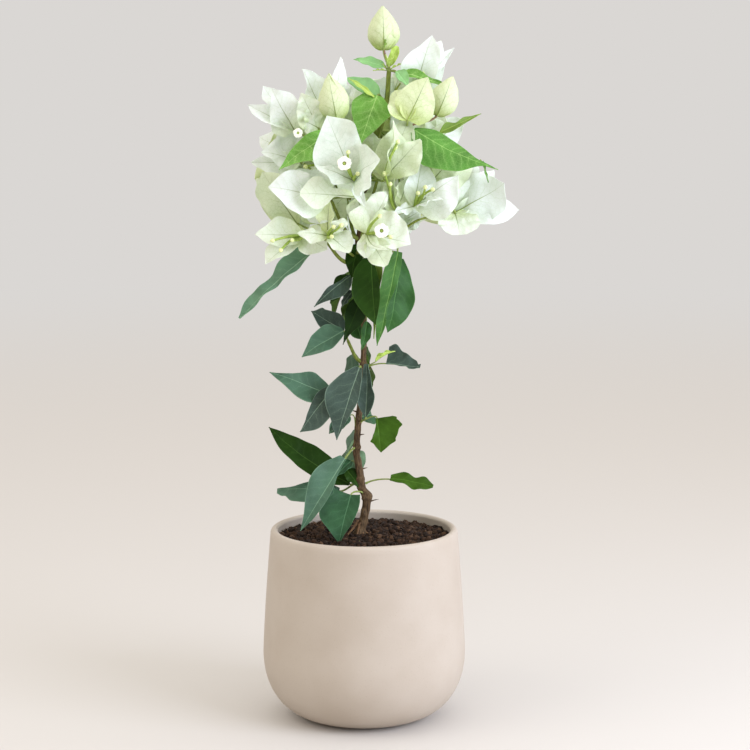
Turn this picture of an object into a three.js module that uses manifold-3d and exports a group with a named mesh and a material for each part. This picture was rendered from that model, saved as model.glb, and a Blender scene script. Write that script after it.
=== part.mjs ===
// Young white bougainvillea, grown upright on one stem, in a plain round-bellied ceramic pot.
// Millimetres, +Z up. The origin is the middle of the pot's flat underside and -Y is the front.

import * as THREE from 'three';
import { mergeVertices } from 'three/addons/utils/BufferGeometryUtils.js';
import Module from 'manifold-3d';

const wasm = await Module();
wasm.setup();

// Driving dimensions of the pot and its soil
const POT_HEIGHT = 132;
const BELLY_RADIUS = 70;
const BELLY_HEIGHT = 46;
const RIM_RADIUS = 64.3;
const FOOT_RADIUS = 31;
const CORNER_POWER = 2.15;
const SHOULDER_POWER = 1.26;
const WALL = 5;
const POT_FLOOR = 7;
const SOIL_EDGE_HEIGHT = 124;
const SOIL_MIDDLE_HEIGHT = 127;
const POT_SIDES = 32;
const POT_STEPS = { corner: 6, shoulder: 3 };
const SOIL_STEPS = { corner: 3, shoulder: 1 };
const SOIL_RINGS = [0.85, 0.6, 0.3];
const LIP_STEPS = 4;

// Between two solids, and between two corners that are one
const GAP = 0.35;
const WELD = 1e-4;

// Driving dimensions of the leaves. The powers set an outline's base and tip.
const LEAF_THICKNESS = 2.4;
const LEAF_POWERS = [0.55, 0.95];
const LEAF_RINGS = 4;
const STALK_RADIUS = 0.9;
const STALK_SIDES = 4;
const STALK_INSIDE_BLADE = 0.2;

// Driving dimensions of the heads of bracts. Shares are of a bract's length, and angles in degrees.
const BRACT_SHOULDER = 0.74;
const BRACT_HALF_ANGLE = 38;
const SHOULDER_SHARE_OF_GAP = 0.42;
const HEAD_DEPTH = 0.25;
const HEAD_MIDDLE = 3;
const HEAD_FOOT = 1;
const CALYX_RADIUS = 2;
const CALYX_LENGTH = 2;
const BUD_WIDTH = 0.76;
const BUD_DEPTH = 0.6;
const BUD_POWERS = [0.6, 0.75];
const BUD_RINGS = 6;

// The stem: x, y and z of its bends, and its radius there, from the flat cut at the soil to the tip
const STEM = [
  [-3.5, -2, 127.6, 4.6],
  [-1, -1, 135, 3.2],
  [1.3, 0, 146, 3],
  [2, 0, 153, 3.1],
  [-2, 0, 161, 2.8],
  [-3, 1, 172, 2.4],
  [-5, 1, 185, 2.3],
  [-4, 0, 205, 2.2],
  [-2, 0, 226, 2.1],
  [0, 0, 262, 2],
  [-1, 0, 290, 2],
  [-5, 0, 316, 2],
  [-2, 0, 341, 1.9],
  [3, 0, 371, 1.8],
  [9, 0, 398, 1.7],
  [15, 0, 421, 1.7],
  [16, 0, 447, 1.4],
];

// Boughs: the height at which each leaves the stem, and where it ends inside its mass
const BOUGHS = {
  shoot_left: { from: 246, to: [-11, -1, 262] },
  bough_low_left: { from: 314, to: [-26, -14, 332] },
  bough_low_front: { from: 321, to: [0, -28, 343] },
  bough_left: { from: 331, to: [-22, -24, 360] },
  bough_right: { from: 338, to: [27, -20, 350] },
  bough_front: { from: 352, to: [9, -24, 372] },
  bough_high_left: { from: 366, to: [-22, -12, 399] },
  bough_high_right: { from: 394, to: [29, -14, 407] },
  bough_back_low: { from: 330, to: [-12, 32, 356] },
  bough_back_right: { from: 350, to: [32, 24, 376] },
  bough_back_left: { from: 356, to: [-28, 22, 380] },
  bough_back_high: { from: 386, to: [8, 26, 412] },
};
const BOUGH_RADIUS_START = 1.5;
const BOUGH_RADIUS_END = 1;
const BOUGH_SAG = 0.16;
const BOUGH_SIDES = 5;
const BOUGH_STEPS = 5;
const STEM_SIDES = 8;
const STEM_STEPS = 32;

// Masses of leaves. `heel` is the point beside the stem or bough that the stalks of a mass share.
// A leaf is x, y, z where its blade starts, its bearing, rise and roll in degrees, and its length
// and width. A bearing of 0 points to the front, 90 to the right and 180 to the back.
const LEAF_MASSES = {
  leaf_low_front: { heel: [-1, -4.5, 159], leaves: [[-8, -10, 158, -25, -52, 0, 37, 26]] },
  leaf_low_right: { heel: [2, -3.5, 165], leaves: [[18, -4, 167, 80, -8, -25, 29, 14]] },
  leaves_low_left: {
    heel: [-7, 3, 165],
    leaves: [
      [-12, 6, 170, -95, 30, 60, 62, 24],
      [-18, 8, 155, -92, 2, 65, 42, 19],
      [-11, -6, 164, 60, 40, -30, 12, 10],
    ],
  },
  leaves_lower_left: {
    heel: [-8.5, -2, 188],
    leaves: [[-13, -10, 182, -60, -53, 40, 58, 27], [-12, -4, 200, -75, -5, 50, 15, 13]],
  },
  leaves_lower_right: {
    heel: [-1, -4.5, 206],
    leaves: [[1, -10, 211, 160, 85, 0, 34, 12], [8, -4, 209, 40, -60, -15, 24, 20]],
  },
  leaves_middle_left: {
    heel: [-5, -4, 236],
    leaves: [
      [-22, 0, 228, -80, 18, 60, 45, 22],
      [-23, -10, 231, -70, -52, 40, 38, 23],
      [-3, -11, 244, -40, -65, 20, 54, 24],
    ],
  },
  leaves_middle_right: {
    heel: [3.5, -3, 243],
    leaves: [[14, -4, 254, 75, -20, -50, 26, 19], [7, -4, 249, 80, 25, -20, 15, 6]],
  },
  leaves_shoot: {
    heel: [-13.5, -1, 264],
    leaves: [[-15, -4, 266, -72, -20, 50, 32, 22], [-16, 4, 271, -110, 20, 60, 20, 12]],
  },
  leaves_upper_left: {
    heel: [-4, -4.5, 290],
    leaves: [
      [-9, -8, 302, -70, -30, 35, 31, 14],
      [-10, 2, 304, -105, -38, 20, 26, 12],
      [2, -10, 287, -55, -50, 25, 32, 18],
      [1, -8, 277, -10, -65, 60, 21, 8],
    ],
  },
  leaves_under_crown: {
    heel: [-2, -5, 318],
    leaves: [
      [4, -12, 321, 10, -75, 0, 46, 26],
      [14, -7, 324, -35, -80, -50, 62, 18],
      [22, 5, 319, -45, -80, 20, 50, 19],
    ],
  },
  leaf_long_left: { heel: [-24, -19, 328], leaves: [[-27, -18, 328, -80, -40, 40, 76, 17]] },
  leaf_crown_left: { heel: [-20, -17, 401], leaves: [[-20, -32, 407, -70, -35, 45, 46, 24]] },
  leaves_crown_front: {
    heel: [11, -4, 424],
    leaves: [[8, -10, 424, -40, -60, 20, 34, 24], [9, -6, 427, -100, 30, 50, 25, 15]],
  },
  leaves_crown_right: {
    heel: [32, -16, 402],
    leaves: [[36, -24, 404, 75, -25, -45, 61, 24], [50, -2, 404, 110, 25, -10, 30, 8]],
  },
  leaves_top: {
    heel: [19, -3, 443],
    leaves: [
      [18, -6, 446, -98, 15, 10, 26, 8],
      [20, -2, 448, 80, 55, -40, 13, 8],
      [24, -3, 441, 75, -15, -15, 37, 11],
    ],
  },
  leaves_back_low: {
    heel: [-2, 6, 198],
    leaves: [[-6, 14, 196, 205, -35, 0, 46, 24], [2, 15, 206, 160, -20, 0, 42, 22]],
  },
  leaves_back_middle: {
    heel: [0, 5, 246],
    leaves: [[-5, 14, 243, 215, -30, 0, 48, 25], [3, 14, 252, 170, -40, 0, 44, 23]],
  },
  leaves_back_high: {
    heel: [-4, 5, 300],
    leaves: [
      [-4, 14, 298, 190, -35, 0, 46, 24],
      [-2, 12, 306, 140, -45, 0, 44, 22],
      [-9, 10, 309, 235, -50, 0, 42, 21],
    ],
  },
  leaves_crown_back: {
    heel: [7, 5, 380],
    leaves: [[8, 42, 376, 175, -35, 0, 46, 24], [-12, 34, 388, 215, -20, 0, 44, 22]],
  },
};

// Masses of bracts. A head is x, y, z where its three bracts join, the length of a bract, and each
// bract's bearing and rise. A head with one bearing and rise is a closed bud that points that way.
// `end` names the bough that the mass's stalks grow from.
const BRACT_MASSES = {
  bracts_low_left: {
    end: 'bough_low_left',
    heads: [
      [-46, -10, 345, 42, [-60, 45], [-120, 50], [-5, -5]],
      [-40, -30, 336, 34, [-70, 5], [-60, -30], [20, -10]],
      [-20, -40, 335, 30, [-5, 55], [15, -20], [60, 0]],
    ],
  },
  bracts_left: {
    end: 'bough_left',
    heads: [
      [-42, -6, 382, 38, [-45, 15], [-115, 0], [-150, 25]],
      [-22, -38, 359, 42, [-80, 15], [-50, 35], [-15, -15]],
      [-4, -44, 362, 40, [-70, 5], [15, -15], [165, 15]],
    ],
  },
  bracts_low_front: {
    end: 'bough_low_front',
    heads: [[2, -46, 340, 38, [25, 45], [50, -10], [25, -30]]],
  },
  bracts_front: {
    end: 'bough_front',
    heads: [
      [-4, -48, 372, 48, [-55, 60], [20, 20], [-35, 15]],
      [13, -36, 376, 44, [15, 65], [45, 40], [110, 65]],
    ],
  },
  bracts_right: {
    end: 'bough_right',
    heads: [
      [20, -30, 356, 30, [10, 60], [-20, 35], [155, 35]],
      [35, -36, 356, 40, [50, 30], [10, 45], [15, -10]],
      [61, -14, 350, 45, [55, 30], [65, 5], [120, 40]],
      [59, -20, 348, 28, [5, -25], [-10, -25], [145, -15]],
    ],
  },
  bracts_high_left: {
    end: 'bough_high_left',
    heads: [
      [-9, -24, 413, 38, [-80, 68]],
      [-26, -4, 413, 38, [-50, 60], [-160, 50], [165, 40]],
      [-45, -14, 404, 40, [-25, 45], [-120, 50], [-60, 25]],
      [-33, -26, 406, 32, [-15, 45], [25, 40], [5, 10]],
    ],
  },
  bracts_high_right: {
    end: 'bough_high_right',
    heads: [
      [31, -30, 414, 30, [40, 60], [-160, 45], [135, 20]],
      [49, -14, 417, 27, [60, 80]],
      [38, 6, 428, 42, [35, 70], [135, 60], [50, 50]],
      [47, -6, 376, 32, [20, 15], [80, 10], [-160, 25]],
    ],
  },
  bracts_back_low: { end: 'bough_back_low', fan: { turn: 195, rise: 0 } },
  bracts_back_right: { end: 'bough_back_right', fan: { turn: 130, rise: 5 } },
  bracts_back_left: { end: 'bough_back_left', fan: { turn: 230, rise: 10 } },
  bracts_back_high: { end: 'bough_back_high', fan: { turn: 170, rise: 35 } },
};
const TOP_BUD = { heel: [16, 0, 446], head: [14, 0, 459, 29, [-60, 88]] };

// A fan is three heads round the end of a bough that grows to the back
const FAN_HEADS = 3;
const FAN_REACH = 20;
const FAN_TILT = 50;
const FAN_BRACT_LENGTH = 38;
const FAN_BRACT_OPEN = 55;

const COLOURS = {
  pot: { color: 0xdccfc1, roughness: 0.75, metalness: 0 },
  soil: { color: 0x3a2a20, roughness: 0.95, metalness: 0 },
  bark: { color: 0x5d4a30, roughness: 0.85, metalness: 0 },
  leaf: { color: 0x4a7345, roughness: 0.55, metalness: 0 },
  bract: { color: 0xeef3df, roughness: 0.65, metalness: 0 },
};

const UP = new THREE.Vector3(0, 0, 1);
const RIGHT = new THREE.Vector3(1, 0, 0);
const FRONT = new THREE.Vector3(0, -1, 0);

const group = new THREE.Group();

/** The unit vector of a compass bearing and a rise, both in degrees. */
function direction(turn, rise) {
  const t = THREE.MathUtils.degToRad(turn);
  const r = THREE.MathUtils.degToRad(rise);
  return new THREE.Vector3(Math.cos(r) * Math.sin(t), -Math.cos(r) * Math.cos(t), Math.sin(r));
}

/** A closed manifold solid from a geometry, once its shared vertices are merged. */
function solid(geometry) {
  geometry.deleteAttribute('normal');
  geometry.deleteAttribute('uv');
  const merged = mergeVertices(geometry, WELD);
  const vertProperties = new Float32Array(merged.attributes.position.array);
  const triVerts = new Uint32Array(merged.index.array);
  return new wasm.Manifold(new wasm.Mesh({ numProp: 3, vertProperties, triVerts }));
}

/** All the solids joined to one. */
function join(solids) {
  return solids.reduce((whole, piece) => whole.add(piece));
}

/** Adds a solid to the group as a named mesh, as its one largest body. */
function addPart(name, body, look) {
  const bodies = body.decompose();
  const largest = bodies.reduce((a, b) => (a.volume() > b.volume() ? a : b));
  const mesh = largest.getMesh();
  const geometry = new THREE.BufferGeometry();
  geometry.setAttribute('position', new THREE.BufferAttribute(new Float32Array(mesh.vertProperties), 3));
  geometry.setIndex(new THREE.BufferAttribute(new Uint32Array(mesh.triVerts), 1));
  geometry.computeVertexNormals();
  const part = new THREE.Mesh(geometry, new THREE.MeshStandardMaterial(look));
  part.name = name;
  group.add(part);
}

/** A tapering limb along the curve through some points. `radiusAt` takes the share of its length. */
function limb(points, radiusAt, sides, steps, grow = 0) {
  const curve = new THREE.CatmullRomCurve3(points);
  const frames = curve.computeFrenetFrames(steps);
  const geometry = new THREE.CylinderGeometry(1, 1, 1, sides, steps);
  const place = geometry.attributes.position;
  for (let i = 0; i < place.count; i += 1) {
    const along = THREE.MathUtils.clamp(place.getY(i) + 0.5, 0, 1);
    const step = Math.round(along * steps);
    const radius = radiusAt(along) + grow;
    const end = step === 0 ? -grow : step === steps ? grow : 0;
    const point = curve.getPointAt(along)
      .addScaledVector(frames.normals[step], radius * place.getX(i))
      .addScaledVector(frames.binormals[step], -radius * place.getZ(i))
      .addScaledVector(frames.tangents[step], end);
    place.setXYZ(i, point.x, point.y, point.z);
  }
  return solid(geometry);
}

/** The breadth of an ovate outline, from 0 at the base through 1 at its widest to 0 at the tip. */
function ovate(along, basePower, tipPower) {
  const widest = basePower / (basePower + tipPower);
  const most = widest ** basePower * (1 - widest) ** tipPower;
  return (along ** basePower * (1 - along) ** tipPower) / most;
}

/**
 * A thin blade with an ovate outline, thickest along its midrib. It starts at `base`, runs along
 * `forward`, and its margins lie along `across`.
 */
function blade({ base, forward, across, length, width, thickness, powers, rings }, grow = 0) {
  const geometry = new THREE.SphereGeometry(1, 4, rings);
  const through = new THREE.Vector3().crossVectors(across, forward);
  const place = geometry.attributes.position;
  for (let i = 0; i < place.count; i += 1) {
    const along = THREE.MathUtils.clamp((1 + place.getY(i)) / 2, 0, 1);
    const round = Math.hypot(place.getX(i), place.getZ(i));
    const side = round > 1e-6 ? place.getX(i) / round : 0;
    const face = round > 1e-6 ? place.getZ(i) / round : 0;
    const outline = ovate(along, ...powers);
    const breadth = outline > 0 ? (width / 2) * outline + grow : 0;
    const depth = outline > 0 ? (thickness / 2) * Math.sqrt(outline) + grow : 0;
    const point = base.clone()
      .addScaledVector(forward, along * length + (2 * along - 1) * grow)
      .addScaledVector(across, side * breadth)
      .addScaledVector(through, face * depth);
    place.setXYZ(i, point.x, point.y, point.z);
  }
  return solid(geometry);
}

/** A leaf blade with the stalk that joins it to the heel of its mass. */
function leaf(heel, [x, y, z, turn, rise, roll, length, width], grow) {
  const base = new THREE.Vector3(x, y, z);
  const forward = direction(turn, rise);
  const level = direction(turn + 90, 0);
  const across = level.applyAxisAngle(forward, THREE.MathUtils.degToRad(-roll));
  const inside = base.clone().addScaledVector(forward, length * STALK_INSIDE_BLADE);
  const stalk = limb([heel, base, inside], () => STALK_RADIUS, STALK_SIDES, 2, grow);
  const look = { thickness: LEAF_THICKNESS, powers: LEAF_POWERS, rings: LEAF_RINGS };
  return stalk.add(blade({ base, forward, across, length, width, ...look }, grow));
}

/**
 * Three bracts as one star-shaped cup. It has a point at the base and a hollow middle, and its rim
 * goes from each bract's tip to the shoulders on its two sides.
 */
function cup(base, axis, ways, length, grow) {
  const side = new THREE.Vector3().crossVectors(axis, Math.abs(axis.z) < 0.9 ? UP : RIGHT).normalize();
  const other = new THREE.Vector3().crossVectors(axis, side);
  const bracts = ways
    .map((way) => ({ way, round: Math.atan2(way.dot(other), way.dot(side)), open: way.angleTo(axis) }))
    .sort((a, b) => a.round - b.round);
  const rim = [];
  bracts.forEach(({ way, round, open }, i) => {
    const gapBefore = (round - bracts[(i + 2) % 3].round + 2 * Math.PI) % (2 * Math.PI);
    const gapAfter = (bracts[(i + 1) % 3].round - round + 2 * Math.PI) % (2 * Math.PI);
    const most = THREE.MathUtils.degToRad(BRACT_HALF_ANGLE);
    const shoulder = (turn) => tilted(axis, side, other, round + turn, THREE.MathUtils.radToDeg(open))
      .multiplyScalar(length * BRACT_SHOULDER + grow);
    rim.push(shoulder(-Math.min(most, SHOULDER_SHARE_OF_GAP * gapBefore)));
    rim.push(way.clone().multiplyScalar(length + grow));
    rim.push(shoulder(Math.min(most, SHOULDER_SHARE_OF_GAP * gapAfter)));
  });
  const rise = rim.reduce((sum, point) => sum + point.dot(axis), 0) / rim.length;
  const geometry = new THREE.SphereGeometry(1, rim.length, 2);
  const place = geometry.attributes.position;
  for (let i = 0; i < place.count; i += 1) {
    const level = place.getY(i);
    const round = Math.atan2(place.getZ(i), -place.getX(i)) / (2 * Math.PI);
    const step = Math.round((round + 1) * rim.length) % rim.length;
    const middle = level > 0 ? HEAD_DEPTH * rise + HEAD_MIDDLE + grow : -HEAD_FOOT - grow;
    const fromBase = Math.abs(level) > 0.5 ? axis.clone().multiplyScalar(middle) : rim[step];
    const point = base.clone().add(fromBase);
    place.setXYZ(i, point.x, point.y, point.z);
  }
  return solid(geometry);
}

/** Three bracts that are still folded into a closed bud. */
function bud(base, forward, length, grow) {
  const across = new THREE.Vector3().crossVectors(forward, FRONT).normalize();
  const size = { length, width: length * BUD_WIDTH, thickness: length * BUD_DEPTH };
  return blade({ base, forward, across, ...size, powers: BUD_POWERS, rings: BUD_RINGS }, grow);
}

/** A head: three bracts round a calyx, with the stalk that joins it to the heel of its mass. */
function head(heel, [x, y, z, length, ...bracts], grow) {
  const base = new THREE.Vector3(x, y, z);
  const ways = bracts.map(([turn, rise]) => direction(turn, rise));
  const axis = ways.reduce((sum, way) => sum.add(way), new THREE.Vector3()).normalize();
  const calyx = base.clone().addScaledVector(axis, CALYX_LENGTH);
  const radiusAt = (along) => STALK_RADIUS + (CALYX_RADIUS - STALK_RADIUS) * along ** 2;
  const flower = ways.length > 1 ? cup(base, axis, ways, length, grow) : bud(base, axis, length, grow);
  return limb([heel, base, calyx], radiusAt, STALK_SIDES, 2, grow).add(flower);
}

/** The heads of a fan, spread evenly round the end of a bough. */
function fanHeads(end, { turn, rise }) {
  const outward = direction(turn, rise);
  const side = direction(turn + 90, 0);
  const up = new THREE.Vector3().crossVectors(side, outward);
  return Array.from({ length: FAN_HEADS }, (_, i) => {
    const round = ((i + 0.5) / FAN_HEADS) * 2 * Math.PI;
    const aim = tilted(outward, side, up, round, FAN_TILT);
    const base = end.clone().addScaledVector(aim, FAN_REACH);
    const across = new THREE.Vector3().crossVectors(aim, outward).normalize();
    const other = new THREE.Vector3().crossVectors(aim, across);
    const bracts = [0, 1, 2].map((third) => {
      const way = tilted(aim, across, other, (third / 3) * 2 * Math.PI + i, FAN_BRACT_OPEN);
      const bearing = THREE.MathUtils.radToDeg(Math.atan2(way.x, -way.y));
      return [bearing, THREE.MathUtils.radToDeg(Math.asin(way.z))];
    });
    return [base.x, base.y, base.z, FAN_BRACT_LENGTH, ...bracts];
  });
}

/** A direction tilted away from an axis by some degrees, towards a point round that axis. */
function tilted(axis, side, up, round, degrees) {
  const tilt = THREE.MathUtils.degToRad(degrees);
  return axis.clone().multiplyScalar(Math.cos(tilt))
    .addScaledVector(side, Math.sin(tilt) * Math.cos(round))
    .addScaledVector(up, Math.sin(tilt) * Math.sin(round));
}

/** The stem's centre and radius at a height. */
function stemAt(height) {
  const above = STEM.findIndex((bend) => bend[2] >= height);
  const [low, high] = [STEM[Math.max(above - 1, 0)], STEM[above]];
  const share = high === low ? 0 : (height - low[2]) / (high[2] - low[2]);
  const [x, y, , radius] = low.map((value, i) => value + (high[i] - value) * share);
  return { centre: new THREE.Vector3(x, y, height), radius };
}

/** Half of the pot's profile: the rounded corner, then the shoulder up to a height below the lip. */
function potProfile(inset, bottom, top, steps) {
  const points = [];
  for (let i = 0; i <= steps.corner; i += 1) {
    const t = (i / steps.corner) * (Math.PI / 2);
    const reach = Math.sin(t) ** (2 / CORNER_POWER);
    const lift = 1 - Math.cos(t) ** (2 / CORNER_POWER);
    const radius = FOOT_RADIUS + (BELLY_RADIUS - FOOT_RADIUS) * reach - inset;
    points.push(new THREE.Vector2(radius, bottom + (BELLY_HEIGHT - bottom) * lift));
  }
  for (let i = 1; i <= steps.shoulder; i += 1) {
    const height = BELLY_HEIGHT + ((top - BELLY_HEIGHT) * i) / steps.shoulder;
    const share = (height - BELLY_HEIGHT) / (POT_HEIGHT - BELLY_HEIGHT);
    const radius = BELLY_RADIUS - (BELLY_RADIUS - RIM_RADIUS) * share ** SHOULDER_POWER - inset;
    points.push(new THREE.Vector2(radius, height));
  }
  return points;
}

/** A profile turned about the upright axis. */
function turned(profile) {
  const geometry = new THREE.LatheGeometry(profile, POT_SIDES);
  geometry.rotateX(Math.PI / 2);
  return solid(geometry);
}

/** The pot: its outside, the rounded lip and its inside as one turned profile. */
function makePot() {
  const lip = WALL / 2;
  const lipHeight = POT_HEIGHT - lip;
  const outside = potProfile(0, 0, lipHeight, POT_STEPS);
  const inside = potProfile(WALL, POT_FLOOR, lipHeight, POT_STEPS).reverse();
  const lipArc = Array.from({ length: LIP_STEPS - 1 }, (_, i) => {
    const t = ((i + 1) / LIP_STEPS) * Math.PI;
    return new THREE.Vector2(RIM_RADIUS - lip + lip * Math.cos(t), lipHeight + lip * Math.sin(t));
  });
  const [under, floor] = [new THREE.Vector2(0, 0), new THREE.Vector2(0, POT_FLOOR)];
  addPart('pot', turned([under, ...outside, ...lipArc, ...inside, floor]), COLOURS.pot);
}

/** Soil fills the pot to below the rim, and is a little higher in the middle. */
function makeSoil() {
  const bottom = POT_FLOOR + GAP;
  const side = potProfile(WALL + GAP, bottom, SOIL_EDGE_HEIGHT, SOIL_STEPS);
  const edge = side[side.length - 1].x;
  const top = SOIL_RINGS.map((share) => {
    const height = SOIL_EDGE_HEIGHT + (SOIL_MIDDLE_HEIGHT - SOIL_EDGE_HEIGHT) * (1 - share ** 2);
    return new THREE.Vector2(edge * share, height);
  });
  const profile = [new THREE.Vector2(0, bottom), ...side, ...top, new THREE.Vector2(0, SOIL_MIDDLE_HEIGHT)];
  addPart('soil', turned(profile), COLOURS.soil);
}

/** The stem, cut off flat at the soil. What comes back is the room that it takes, with the gap. */
function makeStem() {
  const points = STEM.map(([x, y, z]) => new THREE.Vector3(x, y, z));
  const lengths = [0];
  points.slice(1).forEach((point, i) => lengths.push(lengths[i] + point.distanceTo(points[i])));
  const whole = lengths[lengths.length - 1];
  const radiusAt = (along) => {
    const next = Math.max(1, lengths.findIndex((length) => length >= along * whole - 1e-6));
    const share = (along * whole - lengths[next - 1]) / (lengths[next] - lengths[next - 1]);
    return STEM[next - 1][3] + (STEM[next][3] - STEM[next - 1][3]) * share;
  };
  const wide = BELLY_RADIUS;
  const below = new THREE.BoxGeometry(wide, wide, wide).translate(0, 0, STEM[0][2] - wide / 2);
  addPart('stem', limb(points, radiusAt, STEM_SIDES, STEM_STEPS).subtract(solid(below)), COLOURS.bark);
  return limb(points, radiusAt, STEM_SIDES, STEM_STEPS, GAP);
}

/** A bough curves out of the stem, droops a little on its way, and ends inside its mass. */
function bough({ from, to }, grow = 0) {
  const { centre } = stemAt(from);
  const end = new THREE.Vector3(...to);
  const middle = centre.clone().lerp(end, 0.5);
  middle.z -= BOUGH_SAG * centre.distanceTo(end);
  const radiusAt = (along) => BOUGH_RADIUS_START + (BOUGH_RADIUS_END - BOUGH_RADIUS_START) * along;
  return limb([centre, middle, end], radiusAt, BOUGH_SIDES, BOUGH_STEPS, grow);
}

/** One mass of leaves, grown by the gap where it cuts a neighbour. */
function leafMass({ heel, leaves }, grow = 0) {
  const start = new THREE.Vector3(...heel);
  return join(leaves.map((row) => leaf(start, row, grow)));
}

/** One mass of heads, grown by the gap where it cuts a neighbour. */
function bractMass({ end, heads, fan }, grow = 0) {
  const start = new THREE.Vector3(...BOUGHS[end].to);
  const rows = heads ?? fanHeads(start, fan);
  return join(rows.map((row) => head(start, row, grow)));
}

/** The whole plant. Each part is cut by the room that those before it take. */
function makePlant() {
  let taken = makeStem();
  const grownBoughs = [];
  for (const [name, row] of Object.entries(BOUGHS)) {
    addPart(name, bough(row).subtract(taken), COLOURS.bark);
    grownBoughs.push(bough(row, GAP));
  }
  taken = join([taken, ...grownBoughs]);
  for (const [name, row] of Object.entries(LEAF_MASSES)) {
    addPart(name, leafMass(row).subtract(taken), COLOURS.leaf);
    taken = taken.add(leafMass(row, GAP));
  }
  const topBud = head(new THREE.Vector3(...TOP_BUD.heel), TOP_BUD.head, 0);
  addPart('bud_top', topBud.subtract(taken), COLOURS.bract);
  for (const [name, row] of Object.entries(BRACT_MASSES)) {
    addPart(name, bractMass(row).subtract(taken), COLOURS.bract);
    taken = taken.add(bractMass(row, GAP));
  }
}

makePot();
makeSoil();
makePlant();

export default group;
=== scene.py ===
"""A young white bougainvillea in a plain ceramic pot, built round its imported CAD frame.

Shapes are worked out with numpy in millimetres. +Z is up and -Y is the front. A bearing of 0 points to
the front, 90 to the right and 180 to the back. A patch holds the arrays of some faces, and a piece is
one mesh made of joined patches.
"""

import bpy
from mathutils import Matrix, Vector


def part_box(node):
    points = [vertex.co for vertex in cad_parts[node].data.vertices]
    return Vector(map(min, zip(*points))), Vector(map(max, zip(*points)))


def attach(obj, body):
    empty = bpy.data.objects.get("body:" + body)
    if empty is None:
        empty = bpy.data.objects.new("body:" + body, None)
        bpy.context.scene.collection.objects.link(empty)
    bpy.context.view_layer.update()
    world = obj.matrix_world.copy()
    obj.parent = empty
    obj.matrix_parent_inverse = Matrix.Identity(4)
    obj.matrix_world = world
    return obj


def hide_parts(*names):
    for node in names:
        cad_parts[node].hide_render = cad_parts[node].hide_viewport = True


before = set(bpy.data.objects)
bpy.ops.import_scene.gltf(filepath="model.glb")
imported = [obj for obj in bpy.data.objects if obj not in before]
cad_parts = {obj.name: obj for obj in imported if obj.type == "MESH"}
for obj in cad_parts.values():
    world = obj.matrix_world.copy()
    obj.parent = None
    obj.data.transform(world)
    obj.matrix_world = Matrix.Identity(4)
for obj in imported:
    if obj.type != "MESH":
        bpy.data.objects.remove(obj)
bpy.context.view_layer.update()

from types import SimpleNamespace

import bpy
import numpy as np
from mathutils import Vector

pot_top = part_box("pot")[1]

bl_info = {
    "name": "Potted bougainvillea",
    "version": (1, 0, 0),
    "blender": (4, 5, 0),
    "location": "View3D > Sidebar > Bougainvillea",
    "description": "Builds a young white bougainvillea in a ceramic pot",
    "category": "Object",
}

MM = 0.001
BODY = "root"
# Edges that turn by more degrees than this stay sharp
SHARP_ANGLE = 55

# The photograph's camera: where it stands and looks, in millimetres, and its lens on a 36 mm sensor
CAMERA_PLACE = (7.5, -1500.0, 450.9)
CAMERA_TARGET = (7.5, 0.0, 238.2)
CAMERA_LENS = 106.4

# The stage, in metres: the colour behind everything, how much brighter the light from overhead is, the
# floor's colour and radius, and how far from the plant it begins and ends to take on the colour behind
BACKGROUND = "#dad7d4"
OVERHEAD = 1.8
FLOOR = "#cdc8c2"
FLOOR_RADIUS = 14.0
FLOOR_FADE = (0.9, 3.0)
# Lamps: name, place, side of the square, watts and colour. All look at the same point.
LAMPS = [
    ("window", (0.86, -0.62, 0.58), 0.7, 12.2, "#e2ebff"),
    ("side", (0.95, -0.10, 0.12), 0.5, 2.4, "#dce7ff"),
    ("fill", (-0.75, -0.40, 0.90), 0.7, 2.6, "#fffaf2"),
]
LAMP_TARGET = (0.0, 0.0, 0.38)

# The pot's profile: the powers of its corner and its shoulder, the radius of its flat foot, the height
# of its belly and of the floor inside, and how many sides its rings have
CORNER_POWER = 2.15
SHOULDER_POWER = 1.26
FOOT_RADIUS = 31.0
BELLY_HEIGHT = 46.0
POT_FLOOR = 7.0
POT_SIDES = 192
# A turned profile ends at this radius, and a fan of triangles closes it
POLE = 0.5

# The soil: how high it is heaped in the middle, and how far below its edge the bed goes down
SOIL_HEAP = 3.0
SOIL_DEPTH = 14
SOIL_SIDES = 240

# The stem: x, y and z of its bends and its radius there
STEM = [
    (-3.5, -2, 124, 5.2), (-3.5, -2, 127.6, 4.6), (-1, -1, 135, 3.2), (1.3, 0, 146, 3.0),
    (2, 0, 153, 3.1), (-2, 0, 161, 2.8), (-3, 1, 172, 2.4), (-5, 1, 185, 2.3), (-4, 0, 205, 2.2),
    (-2, 0, 226, 2.1), (0, 0, 262, 2.0), (-1, 0, 290, 2.0), (-5, 0, 316, 2.0), (-2, 0, 341, 1.9),
    (3, 0, 371, 1.8), (9, 0, 398, 1.7), (15, 0, 421, 1.7), (17, 0, 446, 1.5),
]
# Heights at which a leaf scar or a fork swells the stem
STEM_NODES = [153, 166, 188, 206, 236, 246, 264, 290, 314, 331, 352, 366, 394, 424]
# The stem is cut into lengths: the heights between which each runs, its name and its bark
STEM_LENGTHS = [
    (124, 256, "stem_foot", "bark"), (256, 384, "stem_middle", "bark"), (384, 450, "stem_top", "twig"),
]
# Heights and bearings of the thorns, and the dead stub's foot, way, length and radius
THORNS = [(172, 100), (196, 60), (212, -100), (228, 200), (241, 80)]
STUB = ((2.6, 0, 149.5), (75, 28), 9.0, 0.65)
# Bearings of the roots that show on the soil, and the middles of their upper and lower ends
ROOTS = [-75, -42, -12, 25, 70, 130, 190, 250, 300]
ROOT_TOP = (-2.6, -1.6, 133)
ROOT_FOOT = (-3.5, -2, 124.2)

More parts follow.
